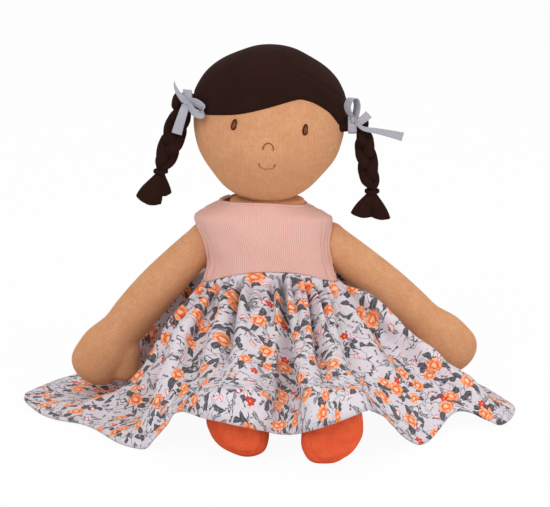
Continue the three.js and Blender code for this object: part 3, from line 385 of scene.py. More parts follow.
def skin(name, grid, uv=None):
    """A closed surface over rings of points: each row of the grid is a ring, and a fan of
    faces closes each end. uv has one more column than the grid, for the seam."""
    rows, columns = grid.shape[:2]
    points = np.concatenate([grid.reshape(-1, 3), grid[0].mean(0)[None], grid[-1].mean(0)[None]])
    r, c = grid_quads(rows, columns, True)
    quads = r * columns + c % columns
    first, last = rows * columns, rows * columns + 1
    ring = np.arange(columns)
    after = (ring + 1) % columns
    fans = np.concatenate([
        np.stack([np.full(columns, first), after, ring], 1),
        np.stack([np.full(columns, last), (rows - 1) * columns + ring, (rows - 1) * columns + after], 1),
    ])
    if uv is None:
        girth = np.linalg.norm(grid - np.roll(grid, 1, 1), axis=-1).sum(1).max()
        around = np.linspace(0, girth, columns + 1)
        uv = spread(around, run(grid).mean(1)[:, None])
    quad_uv = uv[r, c]
    fan_uv = np.concatenate([
        np.stack([uv[0, ring], uv[0, ring + 1], uv[0, ring]], 1),
        np.stack([uv[-1, ring], uv[-1, ring], uv[-1, ring + 1]], 1),
    ])
    return make_mesh(name, points, [quads, fans], [quad_uv, fan_uv])


def torus(name, rings):
    """A closed ring of rings: the grid wraps both ways."""
    rows, columns = rings.shape[:2]
    grid = np.concatenate([rings, rings[:1]])
    r, c = grid_quads(rows + 1, columns, True)
    faces = (r % rows) * columns + c % columns
    girth = np.linalg.norm(rings - np.roll(rings, 1, 1), axis=-1).sum(1).mean()
    uv = spread(np.linspace(0, girth, columns + 1), run(grid).mean(1)[:, None])
    return make_mesh(name, rings.reshape(-1, 3), [faces], [uv[r, c]])


def cloth_shell(name, grid, inner, outer, wrap, uv=None):
    """Cloth with a wall: the grid moved along its normals by inner and by outer, joined round
    its edges. The inner layer's points have the mark inside at 1. A grid that wraps brings its
    own uv, with one more column than the grid."""
    rows, columns = grid.shape[:2]
    normals = grid_normals(grid, wrap)
    layers = [grid + normals * np.broadcast_to(np.asarray(offset, float), (rows, columns))[..., None]
              for offset in (inner, outer)]
    points = np.concatenate([layer.reshape(-1, 3) for layer in layers])
    layer_size = rows * columns
    r, c = grid_quads(rows, columns, wrap)
    index = r * columns + c % columns
    if uv is None:
        uv = spread(run(grid, 1).mean(0), run(grid).mean(1)[:, None])
    faces, corners = [index + layer_size, index[:, ::-1]], [uv[r, c], uv[r, c][:, ::-1]]

    def wall(start, end, turned):
        """Faces between both layers, from one list of rows and columns to the next one."""
        a, b = (row * columns + column % columns for row, column in (start, end))
        face = np.stack([a + layer_size, b + layer_size, b, a], 1)
        corner = np.stack([uv[start], uv[end], uv[end], uv[start]], 1)
        faces.append(face[:, ::-1] if turned else face)
        corners.append(corner[:, ::-1] if turned else corner)

    spans, steps = np.arange(columns if wrap else columns - 1), np.arange(rows - 1)
    for row in (0, rows - 1):
        wall((row, spans + 1), (row, spans), row > 0)
    if not wrap:
        for column in (0, columns - 1):
            wall((steps, column), (steps + 1, column), column > 0)
    inside = np.concatenate([np.ones(layer_size), np.zeros(layer_size)])
    return make_mesh(name, points, faces, corners, {"inside": inside})


def tube_rings(path, wide, deep, widthways, sides, power=2.0):
    """Rings round a path: at each of its points an oval of half sizes wide and deep, its width
    along widthways made square to the path. A power over 2 makes the oval squarer."""
    path = np.asarray(path, float)
    along = unit(np.gradient(path, axis=0))
    widthways = np.broadcast_to(np.asarray(widthways, float), path.shape)
    across = unit(widthways - (widthways * along).sum(-1, keepdims=True) * along)
    through = np.cross(along, across)
    angle = np.arange(sides) / sides * TURN
    rings = path[:, None]
    for half, way, wave in ((wide, across, np.cos), (deep, through, np.sin)):
        half = np.broadcast_to(np.asarray(half, float), path.shape[:1])
        rings = rings + way[:, None] * (half[:, None] * bent_power(wave(angle), 2 / power))[..., None]
    return rings


def taper(count, share):
    """Half-round ends for a tube of this many rings, each end taking this share of its rings."""
    place = np.linspace(0, 1, count)
    left = np.clip(to_edge(place) / share, 0, 1)
    return np.sqrt(np.maximum(1 - (1 - left) ** 2, 0.002))


def settle(piece, body, finish, *nodes, fill=None):
    """Gives a piece the finish of this name, rides it on its body, and says which nodes it
    stands for. The fill is not used."""
    piece.data.materials.clear()
    piece.data.materials.append(finish_of(finish))
    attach(piece, body)
    if nodes:
        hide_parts(*nodes)
    return piece


def bake_modifiers(piece):
    """Replaces a piece's mesh by what its modifiers make of it."""
    bpy.context.view_layer.update()
    shown = piece.evaluated_get(bpy.context.evaluated_depsgraph_get())
    mesh = bpy.data.meshes.new_from_object(shown)
    piece.modifiers.clear()
    piece.data = mesh
    mesh.polygons.foreach_set("use_smooth", np.ones(len(mesh.polygons), bool))


def read_points(mesh):
    """The points of a mesh as an array."""
    points = np.empty(len(mesh.vertices) * 3, np.float32)
    mesh.vertices.foreach_get("co", points)
    return points.reshape(-1, 3).astype(float)


# Settings of the cloth simulation that fills the torso and the arms
BLOWN_CLOTH = {
    "quality": 5, "mass": 0.2, "tension_stiffness": 12, "compression_stiffness": 12, "bending_stiffness": 0.4,
    "use_pressure": True,
}


def stuff(piece, voxel, cap, pressure, frames=20, smooth=6):
    """Stuffing: the piece is remeshed to one skin, blown up as cloth for a few frames with no
    gravity, and no point ends further than cap from where it started."""
    remesh = piece.modifiers.new("remesh", "REMESH")
    remesh.mode = "VOXEL"
    remesh.voxel_size = voxel
    soften = piece.modifiers.new("soften", "SMOOTH")
    soften.iterations = smooth
    soften.factor = 0.5
    bake_modifiers(piece)
    start = read_points(piece.data)
    cloth = piece.modifiers.new("cloth", "CLOTH")
    for key, value in BLOWN_CLOTH.items():
        setattr(cloth.settings, key, value)
    cloth.settings.uniform_pressure_force = pressure
    cloth.settings.effector_weights.gravity = 0
    cloth.point_cache.frame_start = 1
    cloth.point_cache.frame_end = frames
    for step in range(1, frames + 1):
        bpy.context.scene.frame_set(step)
    shown = piece.evaluated_get(bpy.context.evaluated_depsgraph_get())
    end = read_points(shown.data)
    piece.modifiers.clear()
    bpy.context.scene.frame_set(1)
    moved = end - start
    length = np.maximum(np.linalg.norm(moved, axis=1, keepdims=True), 1e-9)
    moved *= np.minimum(1, cap / length)
    piece.data.vertices.foreach_set("co", (start + moved).astype(np.float32).ravel())
    finer = piece.modifiers.new("finer", "SUBSURF")
    finer.levels = finer.render_levels = 1
    bake_modifiers(piece)
    return piece


def box_of(node):
    """Middle and half size of a node's box."""
    low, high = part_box(node)
    return (low + high) / 2, (high - low) / 2


def pleated_tube(path, radius, sides, pleats, depth):
    """Rings of a round tube along X whose radius waves by a share of itself round it."""
    rings = tube_rings(path, radius, radius, (0, 1, 0), sides)
    wave = 1 + depth * np.cos(np.arange(sides) / sides * TURN * pleats)
    return path[:, None] + (rings - path[:, None]) * wave[None, :, None]


def lumpy(rings, path, height, pitch, seed):
    """Rings with soft lumps of this height and pitch, away from the middles on their path."""
    return rings + height * lumps(rings, pitch, seed)[..., None] * unit(rings - path[:, None])


def join_meshes(name, pieces):
    """One mesh object from several, which are removed."""
    points, faces = np.zeros((0, 3)), []
    for piece in pieces:
        faces += [[len(points) + point for point in face.vertices] for face in piece.data.polygons]
        points = np.concatenate([points, read_points(piece.data)])
        bpy.data.objects.remove(piece)
    mesh = bpy.data.meshes.new(name)
    mesh.from_pydata(points.tolist(), [], faces)
    return show_mesh(name, mesh)


# Finishes


class Nodes:
    """The nodes of a material or a world as they are put together. Each call takes sockets or
    plain values and gives a socket."""

    def __init__(self, owner, kind):
        """Empties the owner's node tree and adds its output node."""
        owner.use_nodes = True
        self.tree = owner.node_tree
        self.tree.nodes.clear()
        self.output = self.node("Output" + kind)

    def feed(self, socket, value):
        """Links a socket into another one, or sets a plain value on it."""
        if isinstance(value, bpy.types.NodeSocket):
            self.tree.links.new(value, socket)
        else:
            socket.default_value = value

    def node(self, kind, inputs=None, **settings):
        """A new shader node with its settings and inputs."""
        made = self.tree.nodes.new("ShaderNode" + kind)
        for key, value in settings.items():
            setattr(made, key, value)
        for key, value in (inputs or {}).items():
            if value is not None:
                self.feed(made.inputs[key], value)
        return made

    def seen(self):
        """1 where the camera or a gloss sees the surface, and 0 for all other light."""
        rays = self.node("LightPath").outputs
        return self.math("MAXIMUM", rays["Is Camera Ray"], rays["Is Glossy Ray"])

    def math(self, operation, *values):
        """A sum on numbers."""
        return self.node("Math", dict(enumerate(values)), operation=operation).outputs[0]

    def mix(self, first, second, factor):
        """A colour between two, by a factor."""
        return self.node("Mix", {0: factor, 6: first, 7: second}, data_type="RGBA").outputs[2]

    def between(self, value, low, high, start=0.0, end=1.0):
        """An S-shaped change from start to end while a value goes from low to high."""
        inputs = {0: value, 1: low, 2: high, 3: start, 4: end}
        return self.node("MapRange", inputs, interpolation_type="SMOOTHSTEP").outputs[0]

    def object_place(self):
        """The place on the object, in metres."""
        return self.node("TexCoord").outputs["Object"]

    def cloth_place(self):
        """The place on the flat cloth, in metres."""
        return self.node("UVMap", uv_map="cloth").outputs[0]

    def split(self, vector):
        """The three numbers of a vector."""
        return self.node("SeparateXYZ", {0: vector}).outputs

    def vector(self, operation, first, second=None, scale=None):
        """A sum on vectors, whose length and dot product are numbers."""
        made = self.node("VectorMath", {0: first, 1: second, "Scale": scale}, operation=operation)
        return made.outputs[1 if operation in ("LENGTH", "DOT_PRODUCT") else 0]

    def noise(self, place, pitch, detail=2.0, roughness=0.5, colour=False):
        """Soft noise with this pitch, as a number or as a colour."""
        inputs = {"Vector": place, "Scale": 1 / pitch, "Detail": detail, "Roughness": roughness}
        return self.node("TexNoise", inputs).outputs["Color" if colour else "Fac"]

    def times(self, first, second):
        """The product of two numbers."""
        return self.math("MULTIPLY", first, second)

    def ribs(self, coordinate, pitch):
        """Rounded ribs from 0 to 1: half of 1 plus the cosine of the coordinate in turns."""
        wave = self.math("COSINE", self.math("MULTIPLY", coordinate, TURN / pitch))
        return self.math("MULTIPLY_ADD", wave, 0.5, 0.5)

    def bump(self, height, depth, strength=1.0, under=None):
        """A surface raised by a height from 0 to 1 times the depth, on another one's bumps."""
        inputs = {"Height": height, "Distance": depth, "Strength": strength, "Normal": under}
        return self.node("Bump", inputs).outputs[0]


class Finish(Nodes):
    """A material with one cloth shader, whose plain inputs are given by name."""

    def __init__(self, name, **shader):
        """Makes the material with its shader linked to its output."""
        self.material = bpy.data.materials.new(name)
        super().__init__(self.material, "Material")
        inputs = {key.replace("_", " "): value for key, value in shader.items()}
        self.shader = self.node("BsdfPrincipled", inputs)
        self.feed(self.output.inputs[0], self.shader.outputs[0])

    def done(self, colour, normal):
        """The material, once its colour and its surface's bumps are linked."""
        self.feed(self.shader.inputs["Base Color"], colour)
        self.feed(self.shader.inputs["Normal"], normal)
        return self.material


def velour(name, light, dark, sheen, rib_pitch=0.0011, rib_depth=0.00012, nap=0.00022, patch=0.024, slant=0.0,
           worn=1.0):
    """Short-pile velour: soft patches where the pile lies another way, fine columns of the knit
    at a slant from the upright, and a nap of short noise. It reads object coordinates."""
    made = Finish(name, Sheen_Weight=sheen, Sheen_Roughness=0.45, Roughness=0.92, Specular_IOR_Level=0.1)
    made.shader.inputs["Sheen Tint"].default_value = linear(light, 1.2)
    place = made.object_place()
    patches = made.between(made.noise(place, patch, 3.0, 0.6), 0.36, 0.66)
    mottles = made.between(made.noise(place, 0.0055, 3.0, 0.65), 0.34, 0.66)
    speckle = made.between(made.noise(place, 0.0017, 2.0, 0.7), 0.3, 0.75)
    wander = made.times(made.noise(place, 0.006), rib_pitch * 1.6)
    across = made.vector("DOT_PRODUCT", place, (cos(slant), 0, sin(slant)))
    columns = made.ribs(made.math("ADD", across, wander), rib_pitch)
    body = made.mix(linear(light), linear(dark), made.times(patches, 0.5))
    body = made.mix(body, linear(dark, 0.9), made.times(mottles, 0.34 * worn))
    body = made.mix(body, linear(dark, 0.8), made.times(speckle, 0.42 * worn))
    body = made.mix(body, linear(dark, 0.74), made.times(columns, 0.26 * worn))
    fuzz = made.bump(made.noise(place, 0.0008, 3.0, 0.75), nap, 0.8)
    return made.done(body, made.bump(columns, rib_depth, 0.8, fuzz))


def arm_velour(name, colours, slant):
    """The skin velour of an arm, whose knit runs at a slant along it."""
    return velour(f"{name} arm velour", colours.skin, colours.skin_shade, sheen=0.3, rib_pitch=0.0014,
                  slant=slant, worn=1.25)


def ribbed_velour(name, light):
    """Ribbed velour: ribs run down the cloth at a pitch of 1.5 mm, with painted shade in each groove
    and a painted highlight on each rib, and the nap softens them. It reads the cloth's own map, in metres."""
    made = Finish(name, Sheen_Weight=0.25, Sheen_Roughness=0.5, Roughness=0.95, Specular_IOR_Level=0.1)
    made.shader.inputs["Sheen Tint"].default_value = linear(light, 1.1)
    place, cloth = made.object_place(), made.cloth_place()
    wander = made.times(made.noise(cloth, 0.009), 0.0016)
    rib = made.ribs(made.math("ADD", made.split(cloth)[0], wander), 0.0015)
    worn = made.between(made.noise(place, 0.016, 3.0, 0.6), 0.35, 0.7)
    # Painted shade in the grooves between the ribs and a painted highlight on each rib, following the rib
    # bump
    body = made.mix(linear(light, 0.8), linear(light, 1.06), made.between(rib, 0.1, 0.6))
    body = made.mix(linear(light), body, made.math("MULTIPLY_ADD", worn, 0.45, 0.4))
    fuzz = made.bump(made.noise(place, 0.0007, 3.0, 0.75), 0.00016, 0.8)
    return made.done(body, made.bump(rib, 0.00028, 0.8, fuzz))


def grosgrain(name, shade):
    """Grosgrain ribbon: fine ribs across the ribbon with a painted highlight on each rib and painted shade
    between them, a weave, dusty patches and a slight gloss.
    """
    made = Finish(name, Roughness=0.62, Specular_IOR_Level=0.35, Sheen_Weight=0.15)
    cloth = made.cloth_place()
    across, along = made.split(cloth)[0], made.split(cloth)[1]
    rib = made.ribs(along, 0.00075)
    weave = made.ribs(across, 0.0009)
    dust = made.noise(made.object_place(), 0.0022, 3.0, 0.7)
    # Painted highlight on the rib crests and painted shade between the ribs, following the rib bump
    body = made.mix(linear(shade, 0.82), linear(shade, 1.08), made.math("MULTIPLY_ADD", rib, 0.6, 0.3))
    body = made.mix(body, linear(shade, 0.7), made.times(dust, 0.25))
    height = made.math("MULTIPLY_ADD", weave, 0.3, rib)
    return made.done(body, made.bump(height, 0.0001, 0.9))


def twisted_thread(name, shade):
    """Embroidery thread: slanting fine strands, with a painted highlight along each strand and painted shade
    between them, and hardly any gloss.
    """
    made = Finish(name, Roughness=0.7, Specular_IOR_Level=0.12)
    x, _, z = made.split(made.object_place())[:3]
    slant = made.math("ADD", made.times(x, 0.5), z)
    strand = made.ribs(slant, 0.00042)
    # Painted highlight on each strand and painted shade between strands, following the strand bump
    body = made.mix(linear(shade, 0.7), linear(shade, 1.25), strand)
    return made.done(body, made.bump(strand, 0.00012, 0.9))


def plain_weave(name, shade, pitch=0.0009):
    """Plain woven cotton: warp and weft over and under one another, with painted highlights where the threads
    rise and painted shade between them, and with slubs.
    """
    made = Finish(name, Roughness=0.9, Specular_IOR_Level=0.15, Sheen_Weight=0.1)
    cloth = made.cloth_place()
    across, along = made.split(cloth)[0], made.split(cloth)[1]
    over = made.times(made.ribs(across, pitch), made.ribs(along, pitch))
    slub = made.noise(cloth, 0.004, 3.0, 0.6)
    # Painted highlight where the threads rise and painted shade in the gaps between them, following the weave
    # bump
    body = made.mix(linear(shade, 0.84), linear(shade, 1.04), made.between(over, 0.05, 0.6))
    body = made.mix(body, linear(shade, 0.8), made.between(slub, 0.5, 0.8, 0.0, 0.35))
    return made.done(body, made.bump(over, 0.00018, 0.8))


def hook_tape(name, shade):
    """Hook and loop tape: rows of tiny hooks as raised cells, with a painted highlight on each hook and
    painted shade in the gaps between them.
    """
    made = Finish(name, Roughness=0.75, Specular_IOR_Level=0.3)
    place = made.object_place()
    cells = made.node("TexVoronoi", {"Vector": place, "Scale": 1 / 0.0011}).outputs["Distance"]
    # Painted highlight on the raised hooks and painted shade in the gaps, following the cell bump
    body = made.mix(linear(shade), linear(shade, 0.66), made.between(cells, 0.25, 0.7))
    return made.done(body, made.bump(cells, -0.0003, 1.0))


def scatter(made, place, pitch, shift):
    """Motifs thrown over the cloth: the place of each point from the middle of its cell, turned
    by that cell's own angle, and the cell's three random numbers."""
    moved = made.vector("ADD", place, (shift, shift * 0.37, 0))
    cell = made.node("TexVoronoi", {"Vector": moved, "Scale": 1 / pitch, "Randomness": 0.82},
                     voronoi_dimensions="2D")
    local = made.vector("SUBTRACT", moved, cell.outputs["Position"])
    chance = made.split(cell.outputs["Color"])
    angle = made.times(chance[0], TURN * 4)
    turned = made.node("VectorRotate", {"Vector": local, "Angle": angle}, rotation_type="Z_AXIS").outputs[0]
    return turned, chance


def petals(made, local, radius, count, depth):
    """How far inside a blossom a point is, in metres: its radius, waved by the petals, less the
    distance from the middle. Also that distance and its angle."""
    x, y, _ = made.split(local)[:3]
    distance = made.vector("LENGTH", local)
    angle = made.math("ARCTAN2", y, x)
    wave = made.math("COSINE", made.times(angle, float(count)))
    edge = made.math("MULTIPLY_ADD", wave, radius * depth, radius)
    return made.math("SUBTRACT", edge, distance), distance, angle


def leaves(made, local, offset, length, width):
    """How far inside one of two leaves a point is: pointed ovals on either side of the middle,
    whose half width falls with the square of the distance along them. Also how far the point is
    from the leaf's bent middle line."""
    x, y, _ = made.split(local)[:3]
    along = made.math("DIVIDE", made.math("SUBTRACT", made.math("ABSOLUTE", x), offset), length)
    square = made.times(along, along)
    half = made.times(made.math("SUBTRACT", 1.0, square), width)
    bent = made.math("ABSOLUTE", made.math("MULTIPLY_ADD", square, width * 0.8, y))
    return made.math("SUBTRACT", half, bent), bent


def leaf_tone(made, flat, shade, depth, vein):
    """Shading of a leaf: brushed patches, a pale vein and a dark outline."""
    brushed = made.between(made.noise(flat, 0.0013, 2.0, 0.6), 0.42, 0.62)
    tone = made.mix(linear(shade, 1.35), linear(shade, 0.62), brushed)
    tone = made.mix(linear(shade, 2.3), tone, made.between(vein, 0.00008, 0.0003))
    return made.mix(linear(shade, 0.3), tone, made.between(depth, 0.0001, 0.00034))


# Lesser colours of the print, as they are seen
WARM_WASH = (0.89, 0.78, 0.76)
COOL_WASH = (0.72, 0.72, 0.79)
BUD_INSIDE = (0.93, 0.84, 0.84)
BLOSSOM_MIDDLE = (0.96, 0.80, 0.68)
RED_BLOOM = (0.84, 0.25, 0.17)
RED_BLOOM_MIDDLE = (0.95, 0.6, 0.5)

# Stems: pitch of their loops, shift over the cloth, and how far they curl
STEMS = ((0.0135, 0.0, 0.02), (0.019, 4.1, 0.028))

# Pairs of leaves: pitch, shift, distance from their middle, half length, half width, colour
# and the share of the cells that has them
LEAF_PAIRS = (
    (0.0078, 0.21, 0.0013, 0.0014, 0.0007, "leaf", 0.75),
    (0.0150, 0.54, 0.0022, 0.0028, 0.0015, "leaf_light", 0.8),
    (0.0180, 0.83, 0.0029, 0.0037, 0.0019, "leaf", 0.86),
)

# Blossoms: pitch, shift, radius and the share of the cells that has them
BLOSSOMS = ((0.0235, 1.61, 0.0064, 0.8), (0.0265, 2.23, 0.0048, 0.6))

# Softness of a motif's outline
PRINT_EDGE = 0.0002


# Buds: pitch, shift, place beside their cell's middle, half length, half width, how far inside
# the outline runs and half its width, and the share of the cells that has them
BUDS = (0.0185, 1.17, 0.0022, 0.0033, 0.0015, 0.0002, 0.0003, 0.72)

# Red blooms: pitch, shift, radius, depth of their petals and the share of the cells that has them
RED_BLOOMS = (0.036, 3.31, 0.0026, 0.22, 0.7)


def laid_on(made, body, tone, depth, kept):
    """A motif's tone over the body colour where depth is above 0, in the cells that keep it."""
    return made.mix(body, tone, made.times(made.between(depth, -PRINT_EDGE, PRINT_EDGE), kept))


def blossom(made, flat, local, radius, colours):
    """An orange blossom's tone and how far inside its ragged outline a point is: a brushed wash
    with parted petals, a ragged ring and a pale middle."""
    deep = linear(colours.blossom_deep)
    depth, distance, angle = petals(made, local, radius * 0.82, count=5, depth=0.075)
    rough = made.math("MULTIPLY_ADD", made.noise(flat, 0.0026, 2.0, 0.6), 0.0036, -0.0018)
    ragged = made.math("ADD", depth, rough)
    brushed = made.noise(flat, 0.0026, 3.0, 0.7)
    light = made.between(brushed, 0.46, 0.58, 0.0, 0.8)
    tone = made.mix(linear(colours.blossom), linear(colours.blossom_light), light)
    tone = made.mix(tone, deep, made.between(brushed, 0.42, 0.34, 0.0, 0.45))
    parting = made.between(made.math("COSINE", made.math("MULTIPLY_ADD", angle, 5.0, pi)), 0.7, 0.97)
    lines = made.times(parting, made.between(distance, radius * 0.3, radius * 0.5))
    tone = made.mix(tone, deep, made.times(lines, 0.55))
    wide = made.math("MULTIPLY_ADD", brushed, radius * 0.5, radius * 0.14)
    away = made.math("ABSOLUTE", made.math("SUBTRACT", distance, wide))
    ring = made.math("SUBTRACT", radius * 0.09, away)
    tone = made.mix(tone, deep, made.between(ring, -0.0002, 0.0003, 0.0, 0.85))
    tone = made.mix(tone, linear(BLOSSOM_MIDDLE), made.between(distance, radius * 0.26, radius * 0.1))
    return made.mix(tone, deep, made.between(ragged, 0.0006, 0.0002, 0.0, 0.7)), ragged


def kept_cells(made, chance, share):
    """1 in the share of the cells whose second random number is low enough."""
    return made.between(chance[1], share, share - 0.02)


def swayed(made, flat, pitch, far, detail, roughness):
    """How far places on the cloth are moved by soft noise: up to half of far each way."""
    noise = made.noise(flat, pitch, detail, roughness, colour=True)
    return made.vector("SCALE", made.vector("SUBTRACT", noise, (0.5, 0.5, 0.5)), scale=far)


def print_ground(made, flat, place, colours):
    """The ground with warm and cool washes and small dots."""
    wash = made.noise(flat, 0.009, 3.0, 0.65)
    body = made.mix(linear(colours.ground), linear(WARM_WASH), made.between(wash, 0.56, 0.74, 0.0, 0.55))
    body = made.mix(body, linear(COOL_WASH), made.between(wash, 0.44, 0.28, 0.0, 0.5))
    speck, chance = scatter(made, place, pitch=0.0046, shift=0.013)
    radius = made.times(made.between(chance[1], 0.55, 0.6), 0.0004)
    dot = made.math("SUBTRACT", radius, made.vector("LENGTH", speck))
    return made.mix(body, linear(colours.leaf, 0.3), made.between(dot, -0.0001, 0.0002, 0.0, 0.85))


def print_stems(made, body, flat, colours):
    """Thin curling stems: the edges between cells of curled places, shown in patches."""
    for pitch, shift, bend in STEMS:
        curl = swayed(made, flat, 0.0105, bend, 1.0, 0.5)
        path = made.vector("ADD", made.vector("ADD", flat, (shift, 0, 0)), curl)
        edge = made.node("TexVoronoi", {"Vector": path, "Scale": 1 / pitch, "Randomness": 0.9},
                         voronoi_dimensions="2D", feature="DISTANCE_TO_EDGE").outputs["Distance"]
        shown = made.between(made.noise(flat, 0.014, 1.0), 0.56, 0.52)
        line = made.between(edge, 0.00036 / pitch, 0.00014 / pitch, 0.0, 0.92)
        body = made.mix(body, linear(colours.leaf, 0.3), made.times(line, shown))
    return body


def print_leaves(made, body, flat, place, colours):
    """Pairs of leaves in three sizes, from sprigs to large ones."""
    for pitch, shift, offset, length, width, shade, share in LEAF_PAIRS:
        local, chance = scatter(made, place, pitch, shift)
        depth, vein = leaves(made, local, offset, length, width)
        kept = kept_cells(made, chance, share)
        tone = leaf_tone(made, flat, getattr(colours, shade), depth, vein)
        body = laid_on(made, body, tone, depth, kept)
    return body


def print_buds(made, body, place, colours):
    """Pale buds with a thin outline."""
    pitch, shift, beside, length, width, inset, rim, share = BUDS
    local, chance = scatter(made, place, pitch, shift)
    depth, _ = leaves(made, made.vector("ADD", local, (beside, 0, 0)), 0.0, length, width)
    kept = kept_cells(made, chance, share)
    line = made.math("SUBTRACT", rim, made.math("ABSOLUTE", made.math("SUBTRACT", depth, inset)))
    body = made.mix(body, linear(BUD_INSIDE), made.times(made.between(depth, 0.0, 0.0004), kept))
    return made.mix(body, linear(colours.bud), made.times(made.between(line, -0.0001, 0.00015), kept))


def print_blossoms(made, body, flat, place, colours):
    """Orange blossoms in two sizes, each with a pair of leaves under it."""
    for pitch, shift, radius, share in BLOSSOMS:
        local, chance = scatter(made, place, pitch, shift)
        kept = kept_cells(made, chance, share)
        depth, vein = leaves(made, local, radius * 1.2, radius * 0.74, radius * 0.36)
        body = laid_on(made, body, leaf_tone(made, flat, colours.leaf, depth, vein), depth, kept)
        tone, ragged = blossom(made, flat, local, radius, colours)
        body = laid_on(made, body, tone, ragged, kept)
    return body


def print_red_blooms(made, body, place):
    """Small red blooms with pale middles."""
    pitch, shift, radius, petal_depth, share = RED_BLOOMS
    local, chance = scatter(made, place, pitch, shift)
    depth, distance, _ = petals(made, local, radius, 5, petal_depth)
    kept = kept_cells(made, chance, share)
    red = made.mix(linear(RED_BLOOM), linear(RED_BLOOM_MIDDLE), made.between(distance, 0.001, 0.0005))
    return laid_on(made, body, red, depth, kept)


def ditsy_print(name, colours):
    """A small all-over floral of its own: washes, dots, stems, leaves, buds, orange blossoms and
    red blooms, on a plain weave. It reads the cloth's own map, in metres, and fades on the wrong
    side of the cloth."""
    made = Finish(name, Roughness=0.88, Specular_IOR_Level=0.12, Sheen_Weight=0.06)
    flat = made.cloth_place()
    place = made.vector("ADD", flat, swayed(made, flat, 0.0042, 0.0024, 2.0, 0.6))
    body = print_ground(made, flat, place, colours)
    body = print_stems(made, body, flat, colours)
    body = print_leaves(made, body, flat, place, colours)
    body = print_buds(made, body, place, colours)
    body = print_blossoms(made, body, flat, place, colours)
    body = print_red_blooms(made, body, place)
    inside = made.node("Attribute", attribute_name="inside", attribute_type="GEOMETRY").outputs["Fac"]
    body = made.mix(body, linear(colours.ground, 0.85), made.times(inside, 0.6))
    across, along = made.split(flat)[:2]
    threads = made.times(made.ribs(across, 0.0011), made.ribs(along, 0.0011))
    body = made.mix(body, linear(colours.leaf, 0.6), made.between(threads, 0.5, 0.9, 0.0, 0.1))
    weave = made.times(made.ribs(across, 0.0007), made.ribs(along, 0.0007))
    crumple = made.bump(made.noise(flat, 0.012, 2.0, 0.5), 0.0012, 0.3)
    return made.done(body, made.bump(weave, 0.00008, 0.7, crumple))


finishes = {}


def finish_of(name):
    """The finish of this name, made the first time that it is asked for."""
    if name not in finishes:
        colours = bpy.context.scene.doll_colours
        hair_shade = [part * 0.72 for part in colours.hair]
        shoe_shade = [part * share for part, share in zip(colours.shoe, (0.9, 0.74, 0.68))]
        makers = {
            "skin": lambda: velour("skin velour", colours.skin, colours.skin_shade, sheen=0.3,
                                   rib_pitch=0.0013, worn=1.3),
            "skin_right": lambda: arm_velour("right", colours, radians(-39)),
            "skin_left": lambda: arm_velour("left", colours, radians(46)),
            "hair": lambda: velour("hair velour", colours.hair, hair_shade, sheen=0.02, rib_pitch=0.0013,
                                   rib_depth=0.00008, nap=0.0002, patch=0.03, worn=0.7),
            "shoe": lambda: velour("shoe velour", colours.shoe, shoe_shade, sheen=0.25, rib_pitch=0.0012,
                                   rib_depth=0.00014, nap=0.00024, patch=0.014, worn=0.7),
            "rib": lambda: ribbed_velour("bodice ribbed velour", colours.rib),
            "print": lambda: ditsy_print("skirt printed cotton", colours),
            "ribbon": lambda: grosgrain("bow grosgrain", colours.ribbon),
            "thread": lambda: twisted_thread("face thread", colours.thread),
            "eye": lambda: twisted_thread("eye fill thread", colours.thread_fill),
            "mouth": lambda: twisted_thread("nose thread", colours.mouth),
            "smile": lambda: twisted_thread("mouth thread", colours.smile),
            "cotton": lambda: plain_weave("pack cotton", colours.cotton),
            "tape": lambda: hook_tape("hook and loop tape", colours.tape),
        }
        finishes[name] = makers[name]()
    return finishes[name]


# Head


HEAD_ROLL = radians(4.2)
HEAD_DEPTH = 0.84
HEAD_LUMP = 0.00035

# The torso's flattened top in the neck edge: half width, half depth and half height, how far
# right it is, and how far its middle lies under the neck edge
PAD_HALF = (0.0265, 0.0172, 0.0060)
PAD_RIGHT = 0.0020
PAD_DROP = 0.0045

# Eyes: half sizes, places from the middle of the face, and how far each leans inwards
EYE_HALF_WIDTH = 0.0015
EYE_HALF_HEIGHT = 0.0037
EYE_ACROSS = 0.0248
EYE_UP = 0.0084
EYE_DOME = 0.0006
EYE_LEAN = {"right": 0.16, "left": 0.02}
EYE_THREAD = 0.00072

# Nose and mouth as parts of ovals: half width, half height, height on the face, where the
# stroke starts and ends in half turns, how many rings it has, and its thread's radius
STROKES = {
    "nose": (0.0036, 0.0045, -0.0064, -0.08, 1.08, 40, 0.00042),
    "mouth": (0.0059, 0.0034, -0.0183, 1.08, 1.92, 48, 0.0003),
}
CORNER_START, CORNER_END = 0.0050, 0.0060
CORNER_UP = -0.0192
CORNER_SLOPE = 1.6
CORNER_THREAD = 0.00046


def in_place(points):
    """Points of the head's own frame, rolled to the side and raised to where the head is."""
    x, y, z = points[..., 0], points[..., 1], points[..., 2]
    c, s = cos(HEAD_ROLL), sin(HEAD_ROLL)
    return spread(x * c + z * s - sizes().head_right, y, z * c - x * s + sizes().head_height)


def head_point(turns, share, offset=0.0):
    """A point of the head: a profile from chin to crown turned about the upright, flattened
    from front to back, and moved outwards by an offset. Turns go from the front by the left."""
    s = sizes()
    profile = even_spline(HEAD_PROFILE, share)
    step = 0.002
    beside = [even_spline(HEAD_PROFILE, np.asarray(share) + way * step) for way in (1, -1)]
    slope = unit(beside[0] - beside[1])
    radius = np.maximum(profile[..., 0] * s.head_half_width + offset * slope[..., 1], 0)
    depth = np.maximum(profile[..., 0] * s.head_half_width * HEAD_DEPTH + offset * slope[..., 1], 0)
    height = profile[..., 1] * s.head_half_height - offset * slope[..., 0]
    angle = np.asarray(turns) * TURN
    return spread(radius * np.sin(angle), -depth * np.cos(angle), height)


